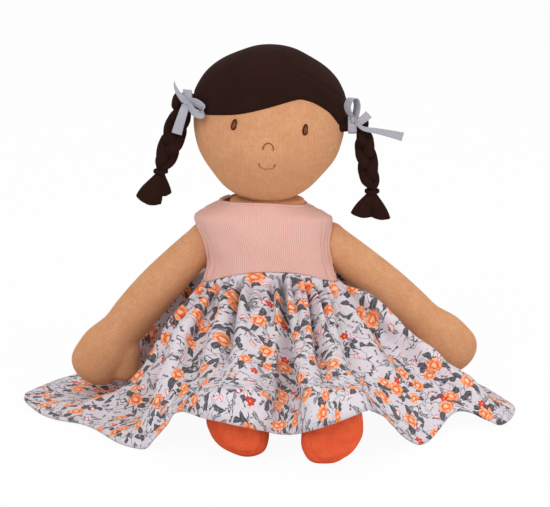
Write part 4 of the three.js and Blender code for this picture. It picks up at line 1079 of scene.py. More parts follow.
def share_at_height(height):
    """The profile's share at which the head has this height, by looking it up in a fine table."""
    table = np.linspace(0, 1, 801)
    heights = even_spline(HEAD_PROFILE, table)[:, 1] * sizes().head_half_height
    return np.interp(height, heights, table)


def face_point(x, z, offset):
    """A point on the front of the head at x across and z up, moved out by an offset."""
    share = share_at_height(z)
    radius = even_spline(HEAD_PROFILE, share)[..., 0] * sizes().head_half_width
    turns = np.arcsin(np.clip(x / radius, -1, 1)) / TURN
    return head_point(turns, share, offset)


def drum(name, middle, half, sides):
    """An upright tube with rounded ends: its radius falls with the fifth power of the height."""
    place = np.linspace(-1, 1, 40)[1:-1]
    swell = (1 - np.abs(place) ** 5) ** 0.5
    path = np.array(middle) + place[:, None] * (0, 0, half[2])
    return skin(name, tube_rings(path, half[0] * swell, half[1] * swell, (1, 0, 0), sides))


class DOLL_OT_head(bpy.types.Operator):
    """Builds the stuffed head and the neck under it"""

    bl_idname = "doll.head"
    bl_label = "Head and neck"

    def execute(self, context):
        """Head: the profile turned about the upright, with soft lumps of stuffing.
        Neck: a short round tube, and the torso's flattened top, which fills the dress's neck."""
        turns, share = np.meshgrid(np.linspace(0, 1, 144, endpoint=False), np.linspace(0, 1, 90)[1:-1])
        plain = head_point(turns, share)
        grid = in_place(head_point(turns, share, HEAD_LUMP * lumps(plain, pitch=0.034, seed=1.3)))
        settle(skin("head_cover", grid), "head", "skin", "head", fill=0.9)
        middle, half = box_of("neck")
        settle(drum("neck_cover", middle, (half.x, half.x, half.z), 48), "neck", "skin", "neck", fill=0.8)
        middle = (-PAD_RIGHT, middle.y, sizes().neck_edge_height - PAD_DROP)
        settle(drum("neck_pad", middle, PAD_HALF, 64), "torso", "skin", fill=0.8)
        return {"FINISHED"}


def thread_stroke(name, x, z, radius, finish, *nodes):
    """A raised stroke of thread along a line on the face: a round tube whose ends taper."""
    path = in_place(face_point(np.asarray(x), np.asarray(z), radius * 0.35))
    girth = radius * taper(len(path), 0.12)
    settle(skin(name, tube_rings(path, girth, girth * 0.8, (0, 1, 0), 12)), "head", finish, *nodes)


def eye_oval(name, side, reach, turn):
    """Places across and up on an oval round an eye's middle, which is narrower at its top."""
    x = EYE_HALF_WIDTH * (1 - 0.2 * np.sin(turn)) * np.cos(turn) * reach
    z = EYE_HALF_HEIGHT * np.sin(turn) * reach
    return side * EYE_ACROSS + x + EYE_LEAN[name] * z, EYE_UP + z


class DOLL_OT_face(bpy.types.Operator):
    """Builds the embroidered eyes, nose and mouth"""

    bl_idname = "doll.face"
    bl_label = "Face embroidery"

    def execute(self, context):
        """Eyes: ovals, narrower at the top, domed by stitches and bound by a thread. Nose and
        mouth: parts of ovals, with a short stroke at each corner of the mouth."""
        for name, side in SIDES:
            self.eye(name, side)
        for (name, stroke), finish in zip(STROKES.items(), ("mouth", "smile")):
            half_width, half_height, up, start, end, count, radius = stroke
            angle = np.linspace(start * pi, end * pi, count)
            x, z = half_width * np.cos(angle), up + half_height * np.sin(angle)
            thread_stroke(f"{name}_thread", x, z, radius, finish, f"{name}_stitch")
        for name, side in SIDES:
            x = np.linspace(CORNER_START, CORNER_END, 12)
            z = CORNER_UP + CORNER_SLOPE * (x - CORNER_START)
            thread_stroke(f"mouth_corner_{name}", side * x, z, CORNER_THREAD, "mouth")
        return {"FINISHED"}

    @staticmethod
    def eye(name, side):
        """One eye: rings of its oval, raised in a dome whose height falls by the fourth power."""
        angle, ring = full_turn(48)[None], np.linspace(0.04, 1, 9)[:, None]
        x, z = eye_oval(name, side, ring, angle)
        dome = EYE_DOME * (1 - ring ** 4) + 0.0001
        low = face_point(x[::-1], z[::-1], -0.0004)
        grid = in_place(np.concatenate([face_point(x, z, dome), low]))
        settle(skin(f"eye_fill_{name}", grid), "head", "eye", f"eye_{name}")
        x, z = eye_oval(name, side, 0.96, np.linspace(0, TURN, 64))
        thread_stroke(f"eye_outline_{name}", x, z, EYE_THREAD, "thread")


# Hair


# Height of the nape hem below the head's middle
NAPE_DROP = 0.036

# The cap's gap to the head, how far its edge rolls in, and the height of its lumps
CAP_GAP = 0.0003
CAP_ROLL = 0.0022
CAP_LUMP = 0.0004

# The dart across the cap's left front: places across and up, and depths of its groove and banks
DART_LINE = np.array([(0.010, 0.047), (0.024, 0.041), (0.038, 0.033), (0.054, 0.020)])
DART_GROOVE = 0.0007
DART_BANKS = 0.00035

# The topstitch along the cap's edge: its distance from the edge, width and depth
TOPSTITCH_IN = 0.0065
TOPSTITCH_WIDTH = 0.0007
TOPSTITCH_DEPTH = 0.00035


def hair_edge(turns):
    """Height of the hair cap's edge round the head: the fringe at the front, found where its
    curve meets the head, and the nape hem behind, with a rounded corner behind each temple."""
    s = sizes()
    angle = turns * TURN
    height = np.full_like(turns, 0.01)
    for _ in range(60):
        radius = even_spline(HEAD_PROFILE, share_at_height(height))[..., 0] * s.head_half_width
        across = radius * np.sin(angle) / s.head_half_width
        aim = read_table(FRINGE[:, 0], FRINGE[:, 1], across) * s.head_half_height
        height = height * 0.6 + aim * 0.4
    behind = smoothstep(0.3, 0.5, -np.cos(angle))
    return height * (1 - behind) - NAPE_DROP * behind


class DOLL_OT_hair(bpy.types.Operator):
    """Builds the hair cap and the bunches that the braids hang from"""

    bl_idname = "doll.hair"
    bl_label = "Hair cap"

    def execute(self, context):
        """Cap: the head's surface from the crown to the hair edge, moved out by the cloth's
        thickness, with a rolled edge. Root: a short pleated tube out of the head's side."""
        settle(skin("hair_cover", self.cap()), "head", "hair", "hair_cap")
        for name, side in SIDES:
            middle, half = box_of(f"hair_root_{name}")
            start = middle - Vector((side * 0.008, 0, 0))
            end = middle + Vector((side * (half.x + 0.0004), 0, 0))
            radius = sizes().root_radius * (1.1 - 0.12 * np.sin(np.linspace(0, pi, 24)))
            rings = pleated_tube(np.linspace(start, end, 24), radius, sides=40, pleats=9, depth=0.06)
            settle(skin(f"root_cover_{name}", rings), "head", "hair", f"hair_root_{name}")
        return {"FINISHED"}

    @staticmethod
    def cap():
        """Rings of the cap: its outer face from the crown to the edge, then its inner face."""
        s = sizes()
        columns, rows = 220, 64
        turns = np.linspace(0, 1, columns, endpoint=False)
        edge = share_at_height(hair_edge(turns))
        down = np.linspace(0.01, 1, rows)[:, None]
        share = 1 - down * (1 - edge)[None]
        turns = np.broadcast_to(turns, share.shape)
        reach = (1 - down) * (1 - edge)[None] * 2 * s.head_half_height
        roll = np.sqrt(np.clip(1 - (1 - np.clip(reach / CAP_ROLL, 0, 1)) ** 2, 0, 1))
        flat = head_point(turns, share)
        away = np.abs(flat[..., 2] - np.interp(flat[..., 0], DART_LINE[:, 0], DART_LINE[:, 1]))
        on_seam = smoothstep(0.006, 0.016, flat[..., 0]) * (flat[..., 1] < 0)
        dart = on_seam * (DART_GROOVE * bell(away, 0.0011) - DART_BANKS * bell(away, 0.004))
        topstitch = TOPSTITCH_DEPTH * bell(reach - TOPSTITCH_IN, TOPSTITCH_WIDTH)
        thick = s.hair_thickness - CAP_GAP + CAP_LUMP * lumps(flat, pitch=0.045, seed=0.4)
        outer = head_point(turns, share, CAP_GAP + thick * roll - dart - topstitch)
        inner = head_point(turns, share, np.full_like(share, 0.0001))
        return in_place(np.concatenate([outer, inner[::-1]]))


# Bows


# Strips of each bow: places in shares of the ribbon's width from the knot, across, up and forward, then the
# way that the ribbon's width lies, and its width at the knot and at the end
BOWS = {
    "right": [
        ([(0, 0, 0), (-0.4, 0.45, 0.3), (-0.95, 1.2, 0.4), (-1.25, 1.9, 0.4), (-1.33, 2.45, 0.4)],
         (0.85, 0.5, 0.2), 1.0, 0.04),
        ([(0, 0, 0), (0.02, 0.5, 0.1), (0.03, 1.0, 0.1), (0.05, 1.45, 0.1)], (1.0, 0.0, 0.25), 0.95, 0.98),
        ([(0, 0, 0), (0.6, 0.2, 0.5), (1.25, 0.1, 1.1), (1.72, -0.3, 1.5), (1.5, -0.85, 1.7),
          (0.85, -0.75, 1.4), (0.35, -0.3, 0.8), (0, 0, 0.2)], (0.12, 1.0, 0.12), 0.95, 0.95),
        ([(0, 0, 0), (-0.3, -0.6, 0.7), (-0.6, -1.5, 0.8), (-0.88, -2.4, 0.7), (-1.1, -3.25, 0.6)],
         (1.0, -0.27, 0.1), 0.85, 1.12),
    ],
    "left": [
        ([(0, 0, 0), (-0.55, 0.8, 0.5), (-0.72, 1.6, 0.7), (-0.4, 2.35, 0.7), (0.1, 2.3, 0.4),
          (0.3, 1.5, 0.2), (0.15, 0.5, 0.1), (0, 0, 0)], (0.7, 0.12, 0.7), 1.0, 1.0),
        ([(0, -0.1, 0.1), (0.45, -0.2, 0.5), (0.95, 0.15, 0.6), (1.55, 0.68, 0.6)],
         (-0.62, 0.78, 0.15), 0.8, 0.97),
        ([(0, -0.1, 0.1), (0.9, -0.85, 0.6), (2.4, -1.15, 0.6), (3.9, -1.5, 0.5), (5.15, -1.84, 0.4)],
         (0.35, 1.0, 0.1), 0.3, 1.02),
    ],
}

# The band round the root: how far in it lies, its half width, and half its wall
BAND_IN = 0.0038
BAND_HALF = 0.0031
BAND_WALL = 0.00055

# The knot: its place from the band's middle, how far the roll runs across and up, its radius
KNOT_OUT = 0.0005
KNOT_FORWARD = 0.0022
KNOT_SHIFT = {"right": Vector((0, 0, 0)), "left": Vector((0.0008, 0.0016, 0.0055))}
KNOT_RUN = Vector((0.0052, 0, 0.0012))
KNOT_RADIUS = 0.0025


def in_front(places):
    """Places given across, up and forward, as points."""
    return np.asarray(places, float)[..., [0, 2, 1]] * (1, -1, 1)


class DOLL_OT_bows(bpy.types.Operator):
    """Builds the two ribbons, each a band round a braid's root with a bow"""

    bl_idname = "doll.bows"
    bl_label = "Ribbon bows"

    def execute(self, context):
        """Ribbon: loops and ends at a knot, and a band round the root."""
        for name, side in SIDES:
            middle, half = box_of(f"hair_root_{name}")
            centre = middle + Vector((side * (half.x - BAND_IN), 0, 0))
            forward = sizes().root_radius + KNOT_FORWARD
            knot = centre + Vector((side * KNOT_OUT, -forward, 0)) + KNOT_SHIFT[name]
            parts = [self.strip(f"bow_{name}_{index + 1}", knot, *row)
                     for index, row in enumerate(BOWS[name])]
            parts += [self.band(f"band_{name}", centre), self.knot(f"knot_{name}", knot)]
            for part in parts:
                settle(part, "head", "ribbon")
            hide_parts(f"ribbon_{name}")
        return {"FINISHED"}

    @staticmethod
    def strip(name, knot, places, widthways, near, far):
        """A loop or an end: a flat rounded section carried along a smooth line through its places,
        with its width held to one side, and narrower at the knot."""
        s = sizes()
        steps = np.linspace(0, 1, 12 * len(places))
        path = np.array(knot) + in_front(even_spline(places, steps)) * s.ribbon_width
        width = s.ribbon_width / 2 * (near + (far - near) * steps)
        width *= 0.6 + 0.4 * smoothstep(0, 0.2, steps)
        if np.allclose(places[0], places[-1], atol=0.3):
            width *= 0.6 + 0.4 * smoothstep(1, 0.85, steps)
        thick = s.ribbon_thickness / 2 * (1 + 0.2 * np.sin(steps * pi))
        rings = tube_rings(path, width, thick, in_front(widthways), 16, 5)
        across = np.cos(np.arange(17) / 16 * TURN) * s.ribbon_width / 2
        return skin(name, rings, spread(across, run(path)[:, None]))

    @staticmethod
    def band(name, centre):
        """A strip with a rounded box section turned about the root, with seven soft creases."""
        around, section = full_turn(60)[:, None], full_turn(20)[None]
        across = bent_power(np.cos(section), 0.4) * BAND_HALF
        radius = sizes().root_radius * 1.02 + 0.0003 + BAND_WALL
        radius = radius + bent_power(np.sin(section), 0.4) * BAND_WALL + 0.0002 * np.sin(around * 7)
        ring = spread(across, radius * np.cos(around), radius * np.sin(around))
        return torus(name, np.array(centre) + ring)

    @staticmethod
    def knot(name, knot):
        """A roll with rounded ends across the ribbon, pinched at its middle."""
        place = np.linspace(0, 1, 26)
        path = np.array(knot) + (place - 0.5)[:, None] * KNOT_RUN - (0, 0.0006, 0)
        bulge = KNOT_RADIUS * taper(26, 0.35) * (1 - 0.12 * np.cos(place * TURN * 2))
        return skin(name, tube_rings(path, bulge, bulge * 0.8, (0, 0, 1), 32))


# Braids


# The share of a braid's length at its tie, how far out each leans and how far in it starts, its
# shares of the common length and girth, and the length of one turn of its strands
TIE_SHARE = 0.71
BRAID_LEAN = {"right": 0.019, "left": 0.0095}
BRAID_IN = {"right": 0.0038, "left": 0.0}
BRAID_GROWTH = {"right": 1.0, "left": 0.93}
BRAID_GIRTH = {"right": 1.0, "left": 0.86}
BRAID_PITCH = 0.047

# How far a strand swings to the side and weaves to the front, then shares along the strand:
# place, swing and radius
STRAND_SWING = 0.0043
STRAND_WEAVE = 0.0040
STRAND = np.array([
    (0, 0.5, 0.62), (0.1, 0.85, 0.9), (0.22, 1, 1), (0.5, 1, 1), (0.6, 0.86, 0.88), (0.68, 0.42, 0.5),
    (0.76, 0.4, 0.46),
])

# A tie's half width and half depth, its cord's radius, and the distance between its two turns
TIE_HALF = (0.0046, 0.0042)
TIE_CORD = 0.0007
TIE_STEP = 0.0011

# Ends of the braids below their ties: the end's middle across and up, its half width, the
# slant and the bulge of its edge, and how far forward it stands. Then the half width at the
# tie, and the wall at the rim
TUFTS = {
    "right": (
        (-0.0092, -0.0205, 0.0088, -0.05, 0.0022, 0.0012),
        (0.0030, -0.0165, 0.0046, 0.0, 0.0014, -0.0012),
    ),
    "left": (
        (-0.0080, -0.0170, 0.0070, -0.22, 0.0012, 0.0010),
        (0.0056, -0.0190, 0.0068, 0.42, 0.0014, -0.0008),
    ),
}
TUFT_START = 0.0021
TUFT_WALL = 0.0009


def braid_line(name, side, share):
    """The middle line of a braid: down from its gather, and outwards ever faster."""
    middle, half = box_of(f"braid_gather_{name}")
    x = middle.x + side * (BRAID_LEAN[name] * share ** 1.2 - BRAID_IN[name] * (1 - share))
    z = middle.z - half.z + 0.002 - sizes().braid_length * BRAID_GROWTH[name] * share
    return spread(x, middle.y, z)


class DOLL_OT_braids(bpy.types.Operator):
    """Builds the two braids, each of three stuffed strands with a tie and flared ends"""

    bl_idname = "doll.braids"
    bl_label = "Braids"

    def execute(self, context):
        """Braid: three strands from a pleated gather, a tie of two turns, and flared ends."""
        for name, side in SIDES:
            body = f"braid_{name}"
            for index in range(3):
                settle(self.strand(name, side, index), body, "hair",
                       f"braid_strand_{name}_{index + 1}", fill=0.7)
            settle(self.gather(name), body, "hair", f"braid_gather_{name}", fill=0.6)
            tie = braid_line(name, side, TIE_SHARE)
            turns = [self.tie_turn(f"tie_{name}_{index + 1}", tie, index - 0.5) for index in range(2)]
            for ring in turns:
                settle(ring, body, "hair")
            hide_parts(f"braid_tie_{name}")
            for index in range(2):
                settle(self.tuft(name, index, tie), body, "hair")
        return {"FINISHED"}

    @staticmethod
    def strand(name, side, index):
        """A strand swings from side to side once a pitch and from front to back twice, a third
        of a turn from its neighbours."""
        s = sizes()
        share = np.linspace(0, 0.75, 110)
        runs = s.braid_length * BRAID_GROWTH[name] / BRAID_PITCH
        phase = (np.minimum(share, TIE_SHARE) * runs + index / 3) * TURN + pi / 5
        swing = read_table(STRAND[:, 0], STRAND[:, 1], share)
        path = braid_line(name, side, share)
        path[:, 0] += STRAND_SWING * BRAID_GIRTH[name] * swing * np.sin(phase)
        path[:, 1] += STRAND_WEAVE * swing * np.sin(2 * phase)
        girth = s.strand_radius * BRAID_GIRTH[name] * read_table(STRAND[:, 0], STRAND[:, 2], share)
        girth = girth * (0.25 + 0.75 * taper(len(share), 0.05))
        rings = tube_rings(path, girth * 1.08, girth * (0.92 + 0.06 * np.cos(phase * 2)), (1, 0, 0), 28)
        rings = lumpy(rings, path, height=0.0003, pitch=0.012, seed=index)
        return skin(f"strand_{name}_{index + 1}", rings)

    @staticmethod
    def gather(name):
        """A pleated tube with rounded ends across the top of the strands."""
        middle, half = box_of(f"braid_gather_{name}")
        across = Vector((half.x, 0, 0))
        path = np.linspace(middle - across, middle + across - Vector((0, 0, 0.0015)), 30)
        radius = half.z * (0.2 + 0.85 * taper(30, 0.4))
        return skin(f"gather_cover_{name}", pleated_tube(path, radius, sides=48, pleats=10, depth=0.05))

    @staticmethod
    def tie_turn(name, tie, step):
        """One turn of the tie: a round cord bent to an oval."""
        around, section = full_turn(40)[:, None], full_turn(12)[None]
        out = TIE_CORD * np.cos(section)
        ring = spread((TIE_HALF[0] + out) * np.cos(around), (TIE_HALF[1] + out) * np.sin(around),
                      TIE_CORD * np.sin(section))
        return torus(name, tie + (0, 0, step * TIE_STEP) + ring)

    @staticmethod
    def tuft(name, index, tie):
        """A cloth end below the tie: a flattened cone whose half width grows to the end, whose
        end edge bulges and slants, and whose rim turns in to a hollow."""
        end_x, end_z, half, slant, bulge, forward = TUFTS[name][index]
        angle = full_turn(72)[None]
        down = np.concatenate([np.linspace(-0.1, 1, 34), np.linspace(0.985, 0.4, 12)])[:, None]
        inner = (np.arange(len(down)) >= 34)[:, None]
        grown = np.clip(down, 0, 1)
        reach = np.hypot(end_x, end_z)
        way_x, way_z = end_x / reach, end_z / reach
        wide = TUFT_START + (half - TUFT_START) * grown ** 1.15 * (1 + 0.35 * np.sin(grown * pi))
        wide = wide - TUFT_WALL * inner
        pleat = 1 + 0.07 * grown * np.cos(5 * angle + index * 2.1) + 0.04 * grown * np.cos(9 * angle)
        across = wide * pleat * np.cos(angle)
        deep = (0.75 - 0.25 * grown) * wide * pleat * np.sin(angle)
        along = reach * down + grown ** 3 * (slant * across + bulge * (1 - (across / half) ** 2))
        ring = spread(way_x * along - way_z * across, deep - forward * grown,
                      way_z * along + way_x * across)
        return skin(f"tuft_{name}_{index + 1}", tie + ring)


# Torso, pocket and heat pack


# The flap: half its width, its flat size for distances from its edge, its lift over the torso
# at the bottom and how much more at the top, its wall, and its hem stitch's distance from the
# edge, width and depth. Last, the wall of the pocket's lining
FLAP_HALF_WIDTH = 0.030
FLAP_FLAT = (0.06, 0.067)
FLAP_LIFT = 0.00035
FLAP_RISE = 0.0019
FLAP_WALL = 0.0014
HEM_IN = 0.0035
HEM_WIDTH = 0.0005
HEM_DEPTH = 0.0004
LINING_WALL = 0.001

# The heat pack: heights, depth and width of its stitched channels, and the thickness of its
# sewn edge, all in shares of its half sizes
CHANNELS = (-1 / 3, 1 / 3)
CHANNEL_DEPTH = 0.24
CHANNEL_WIDTH = 0.055
PACK_EDGE = 0.06


def boxy(turns, half_width, half_depth, power=2.4):
    """A point on a rounded box outline, turning from the front by the doll's left."""
    x, y = (bent_power(wave(turns * TURN), 2 / power) for wave in (np.sin, np.cos))
    return half_width * x, -half_depth * y


def turns_for(across, half_width, power=2.4):
    """The share of a turn from front or back at which that outline is this far across."""
    return np.arcsin((across / half_width) ** (power / 2)) / TURN


def torso_low(turns, share):
    """The torso below the waist: a rounded box outline whose back stays straight."""
    s = sizes()
    depth = s.torso_half_depth * read_table(TORSO[:, 0], TORSO[:, 2], share)
    x, y = boxy(turns, s.torso_half_width * read_table(TORSO[:, 0], TORSO[:, 1], share), depth)
    y = y + (s.torso_back - depth) * smoothstep(0, 0.12, share)
    return spread(x, y, share * s.waist_height)


def copy_node(name, node):
    """A copy of a node's mesh as a new object, its loose faces joined."""
    made = bpy.data.objects.new(name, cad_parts[node].data.copy())
    bpy.context.scene.collection.objects.link(made)
    weld = made.modifiers.new("weld", "WELD")
    weld.merge_threshold = 0.00001
    bake_modifiers(made)
    return made


class DOLL_OT_torso(bpy.types.Operator):
    """Builds the stuffed torso with the lined pocket in its back, and the pocket's flap"""

    bl_idname = "doll.torso"
    bl_label = "Torso and pocket"

    def execute(self, context):
        """Torso: the solid's skin blown up as cloth. The solids of the four tapes are shown as
        they are, with the tape's finish."""
        torso = stuff(copy_node("torso_cover", "torso"), voxel=0.0028, cap=0.0007, pressure=2.5)
        settle(torso, "torso", "skin", "torso", fill=0.85)
        settle(self.lining(), "torso", "cotton", "pocket_lining")
        flap = settle(self.flap(), "pocket_flap", "skin", "pocket_flap")
        for node in ("pocket_loop_tape", "flap_hook_tape", "dress_loop_tape", "dress_hook_tape"):
            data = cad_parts[node].data
            data.materials.clear()
            data.materials.append(finish_of("tape"))
        return {"FINISHED"}

    @staticmethod
    def lining():
        """The pocket's lining: a rounded box open at the back, with an inner face."""
        middle, half = box_of("pocket_lining")
        turns = np.linspace(0, 1, 96, endpoint=False)
        place = np.concatenate([np.linspace(0, 1, 14), np.linspace(1, 0.07, 14)])[:, None]
        wall = np.where(np.arange(28) >= 14, LINING_WALL, 0)[:, None]
        sag = 0.0006 * np.sin(place * pi)
        x, z = boxy(turns[None], half.x - wall + sag, half.z - wall + sag, 9)
        return skin("pocket_cloth", np.array(middle) + spread(x, (2 * place - 1) * half.y, z))

    @staticmethod
    def flap():
        """The pocket's flap: the torso's back surface, lifted over the tapes, with a hem stitch."""
        low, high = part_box("pocket_flap")
        rows, columns = 60, 56
        up = np.linspace(low.z, high.z, rows) / sizes().waist_height
        half = turns_for(FLAP_HALF_WIDTH, sizes().torso_half_width)
        grid = torso_low(*np.meshgrid(np.linspace(0.5 - half, 0.5 + half, columns), up))
        share, place = np.linspace(0, 1, rows)[:, None], np.linspace(0, 1, columns)[None]
        edge = np.minimum(to_edge(share) * FLAP_FLAT[1], to_edge(place) * FLAP_FLAT[0])
        lift = FLAP_LIFT + FLAP_RISE * smoothstep(0, 0.6, share) + 0 * edge
        stitch = HEM_DEPTH * bell(edge - HEM_IN, HEM_WIDTH)
        return cloth_shell("flap_cloth", grid, lift, lift + FLAP_WALL - stitch, False)


class DOLL_OT_heat_pack(bpy.types.Operator):
    """Builds the grain bag in the pocket, with its stitched channels and its pull tab"""

    bl_idname = "doll.heat_pack"
    bl_label = "Heat pack"

    def execute(self, context):
        """Tab: a folded loop of ribbon that bows backwards by a sine of its height."""
        settle(self.bag(), "heat_pack", "cotton", "heat_pack", fill=0.7)
        middle, half = box_of("heat_pack_tab")
        place = np.linspace(0, 1, 30)[:, None]
        path = np.array(middle) + (2 * place - 1) * (0, 0, half.z) + np.sin(place * pi) * (0, 0.0004, 0)
        rings = tube_rings(path, half.x * 0.96, half.y * 0.9, (1, 0, 0), 24, 6)
        settle(skin("pack_tab", rings), "heat_pack", "ribbon", "heat_pack_tab")
        return {"FINISHED"}

    @staticmethod
    def bag():
        """A crowned cushion, thickest at its middle, with channels pressed across it and a flat
        sewn edge, all in shares of its half sizes."""
        middle, half = box_of("heat_pack")
        columns, rows = 128, 40
        ring = np.sin(np.linspace(0.02, 0.5, rows) * pi)
        place = np.concatenate([ring, ring[::-1][1:]])[:, None]
        face = np.concatenate([np.ones(rows), -np.ones(rows - 1)])[:, None]
        edge_x, edge_z = boxy(np.linspace(0, 1, columns, endpoint=False), 1.0, 1.0, 5)
        x, z = place * edge_x[None], place * edge_z[None]
        crown = np.maximum((1 - np.abs(x) ** 3.2) ** 0.5 * (1 - np.abs(z) ** 3.2) ** 0.5, 0)
        dip = sum(CHANNEL_DEPTH * bell(z - line, CHANNEL_WIDTH) for line in CHANNELS) * (1 - x ** 4)
        grain = 0.02 * lumps(spread(x, z, 0.0), pitch=0.16, seed=0.7) * crown
        thick = np.maximum(0.1 + 0.9 * crown - dip * crown + grain, PACK_EDGE)
        grid = np.array(middle) + spread(x, -face * thick, z) * half
        uv = spread(x * half.x, z * half.z)
        return skin("grain_pack", grid, np.concatenate([uv, uv[:, :1]], 1))


# Arms and legs


# Angles of each arm from the upright at the shoulder and at the hand, places of the shoulders
# and hips, the shoulder's radius, how far each leg splays and how far each foot rolls out
ARM_HANG = {"right": (radians(45.5), radians(33)), "left": (radians(49), radians(44))}
SHOULDERS = {"right": (-0.046, 0.006, 0.1165), "left": (0.042, 0.006, 0.1165)}
SHOULDER_BALL = 0.0135
HIPS = {"right": (-0.022, -0.012, 0.0174), "left": (0.022, -0.012, 0.0174)}
LEG_SPLAY = {"right": radians(-0.5), "left": radians(9)}
FOOT_ROLL = {"right": radians(-13), "left": radians(12)}

# How many rings an arm has, the share of it at which its thumb starts, the thumb's lean
# inwards and its start's shift to the front
ARM_RINGS = 90
THUMB_AT = 0.68
THUMB_LEAN = 0.67
THUMB_FORWARD = 0.003

# The least height of a leg and a shoe, and the depth of the seam round a shoe's sole
LEG_FLOOR = 0.0004
SHOE_FLOOR = 0.0003
SOLE_SEAM = 0.0009


class DOLL_OT_arms(bpy.types.Operator):
    """Builds the two stuffed arms with mitten hands and thumbs"""

    bl_idname = "doll.arms"
    bl_label = "Arms"

    def execute(self, context):
        """Arm: its form and its thumb's are joined, remeshed to one skin and blown up as cloth."""
        for name, side in SIDES:
            path, way, forms = self.form(name, side)
            forms.append(self.thumb(name, side, path, way))
            piece = stuff(join_meshes(f"arm_cover_{name}", forms), voxel=0.0019, cap=0.0006, pressure=2.0,
                          frames=12, smooth=5)
            settle(piece, f"arm_{name}", f"skin_{name}", f"arm_{name}", fill=0.8)
        return {"FINISHED"}

    @staticmethod
    def form(name, side):
        """A line of centres that bends from its angle at the shoulder to its angle at the hand,
        and a tube round it from a ball at the shoulder to the rounded fingertips."""
        s = sizes()
        start, end = ARM_HANG[name]
        share = np.linspace(0, 1, ARM_RINGS)
        angle = start + (end - start) * share
        way = unit(spread(side * np.sin(angle), 0.07, -np.cos(angle)))
        steps = np.cumsum(way[:-1] * s.arm_length / (ARM_RINGS - 1), 0)
        path = np.array(SHOULDERS[name]) + np.concatenate([[np.zeros(3)], steps])
        held = np.minimum(share, 0.9)
        wide = s.arm_radius * read_table(ARM[:, 0], ARM[:, 1], held)
        deep = wide * read_table(ARM[:, 0], ARM[:, 2], held)
        tip = np.sqrt(np.clip(1 - ((share - 0.885) / 0.115).clip(0, 1) ** 2, 0.001, 1))
        before = np.linspace(-0.98, -0.08, 12)
        cap = np.array(SHOULDERS[name]) + before[:, None] * SHOULDER_BALL * way[0]
        cap_wide = SHOULDER_BALL * np.sqrt(1 - before ** 2)
        rings = tube_rings(np.concatenate([cap, path]), np.concatenate([cap_wide, wide * tip]),
                           np.concatenate([cap_wide, deep * tip]), (-side * cos(end), 0, -sin(end)), 40)
        return path, way, [skin(f"arm_form_{name}", rings)]

    @staticmethod
    def thumb(name, side, path, way):
        """A short tube with rounded ends that leans inwards from the side of the hand."""
        s = sizes()
        base = int(THUMB_AT * (ARM_RINGS - 1))
        along = way[base]
        inward = unit(np.array([side * along[2], 0, -side * along[0]]))
        reach = np.linspace(0, 1, 30)
        root = path[base] + inward * s.arm_radius * 0.42 - (0, THUMB_FORWARD, 0)
        line = root + unit(along + THUMB_LEAN * inward) * reach[:, None] * s.thumb_length
        girth = s.thumb_radius * taper(30, 0.24) * (1 - 0.06 * reach)
        return skin(f"thumb_form_{name}", tube_rings(line, girth, girth * 0.92, inward, 24))


class DOLL_OT_legs(bpy.types.Operator):
    """Builds the two stuffed legs and their shoes"""

    bl_idname = "doll.legs"
    bl_label = "Legs and shoes"

    def execute(self, context):
        """Leg and shoe: soft rings that don't go below the floor."""
        for name, side in SIDES:
            sole = sizes().sole_right if side < 0 else sizes().sole_left
            settle(self.leg(name, sole), f"leg_{name}", "skin", f"leg_{name}", fill=0.8)
            settle(self.shoe(name, side, sole), f"leg_{name}", "shoe", f"shoe_{name}", fill=0.85)
        return {"FINISHED"}

    @staticmethod
    def leg(name, sole):
        """A tube from hip to ankle with rounded ends."""
        s, splay = sizes(), LEG_SPLAY[name]
        reach = sole + HIPS[name][1] - s.ankle_length
        place = np.concatenate([np.linspace(-0.98, -0.1, 10) * s.leg_radius, np.linspace(0, reach, 60)])
        hip_end = np.where(place < 0, np.sqrt(np.clip(1 - (place / s.leg_radius) ** 2, 0, 1)), 1)
        past = ((place - reach * 0.94) / (reach * 0.06)).clip(0, 0.97)
        radius = s.leg_radius * (1 - 0.06 * np.clip(place / reach, 0, 1)) * hip_end * np.sqrt(1 - past ** 2)
        path = np.array(HIPS[name]) + place[:, None] * (sin(splay), -cos(splay), 0)
        rings = tube_rings(path, radius, radius, (1, 0, 0), 48)
        rings = lumpy(rings, path, height=0.0004, pitch=0.03, seed=2.0)
        rings[..., 2] = np.maximum(rings[..., 2], LEG_FLOOR)
        return skin(f"leg_cover_{name}", rings)

    @staticmethod
    def shoe(name, side, sole):
        """Rounded boxes from the sole back to the ankle, which shrink towards both ends, with a
        pressed seam round the sole; the shoe stands on its heel and rolls out."""
        s, splay = sizes(), LEG_SPLAY[name]
        angle = (np.linspace(-0.5, 0.5, 64)[1:-1] * pi)[:, None]
        forward = np.sin(angle)
        half_depth = s.shoe_depth / 2
        turned_out = tan(FOOT_ROLL[name]) * s.shoe_half_width
        half_height = np.hypot(s.shoe_height / 2, turned_out)
        seam = SOLE_SEAM * bell(forward - 0.8, 0.05) / s.shoe_half_width
        ankle = HIPS[name][0] + sin(splay) * (sole + HIPS[name][1] - half_depth)
        round_x, round_z = boxy(np.arange(96) / 96, 1.0, 1.0, 2.35)
        x, z = ((np.cos(angle) ** 0.5 - seam) * edge[None] for edge in (round_x, round_z))
        inward = side * (0.0018 - 0.0012 * z) * smoothstep(-0.4, 0.6, forward)
        grid = spread(
            ankle + s.shoe_half_width * x - inward + sin(splay) * half_depth * forward,
            -sole + half_depth * (1 - forward),
            half_height - 0.0005 + s.shoe_height / 2 * z + turned_out * x,
        )
        grid = lumpy(grid, grid.mean(1), height=0.0005, pitch=0.018, seed=3.0)
        grid[..., 2] = np.maximum(grid[..., 2], SHOE_FLOOR)
        return skin(f"shoe_cover_{name}", grid)


# Dress


# Half the dress's width at its back and half its back opening
BACK_HALF_WIDTH = 0.047 * 0.945
BACK_OPENING = 0.034

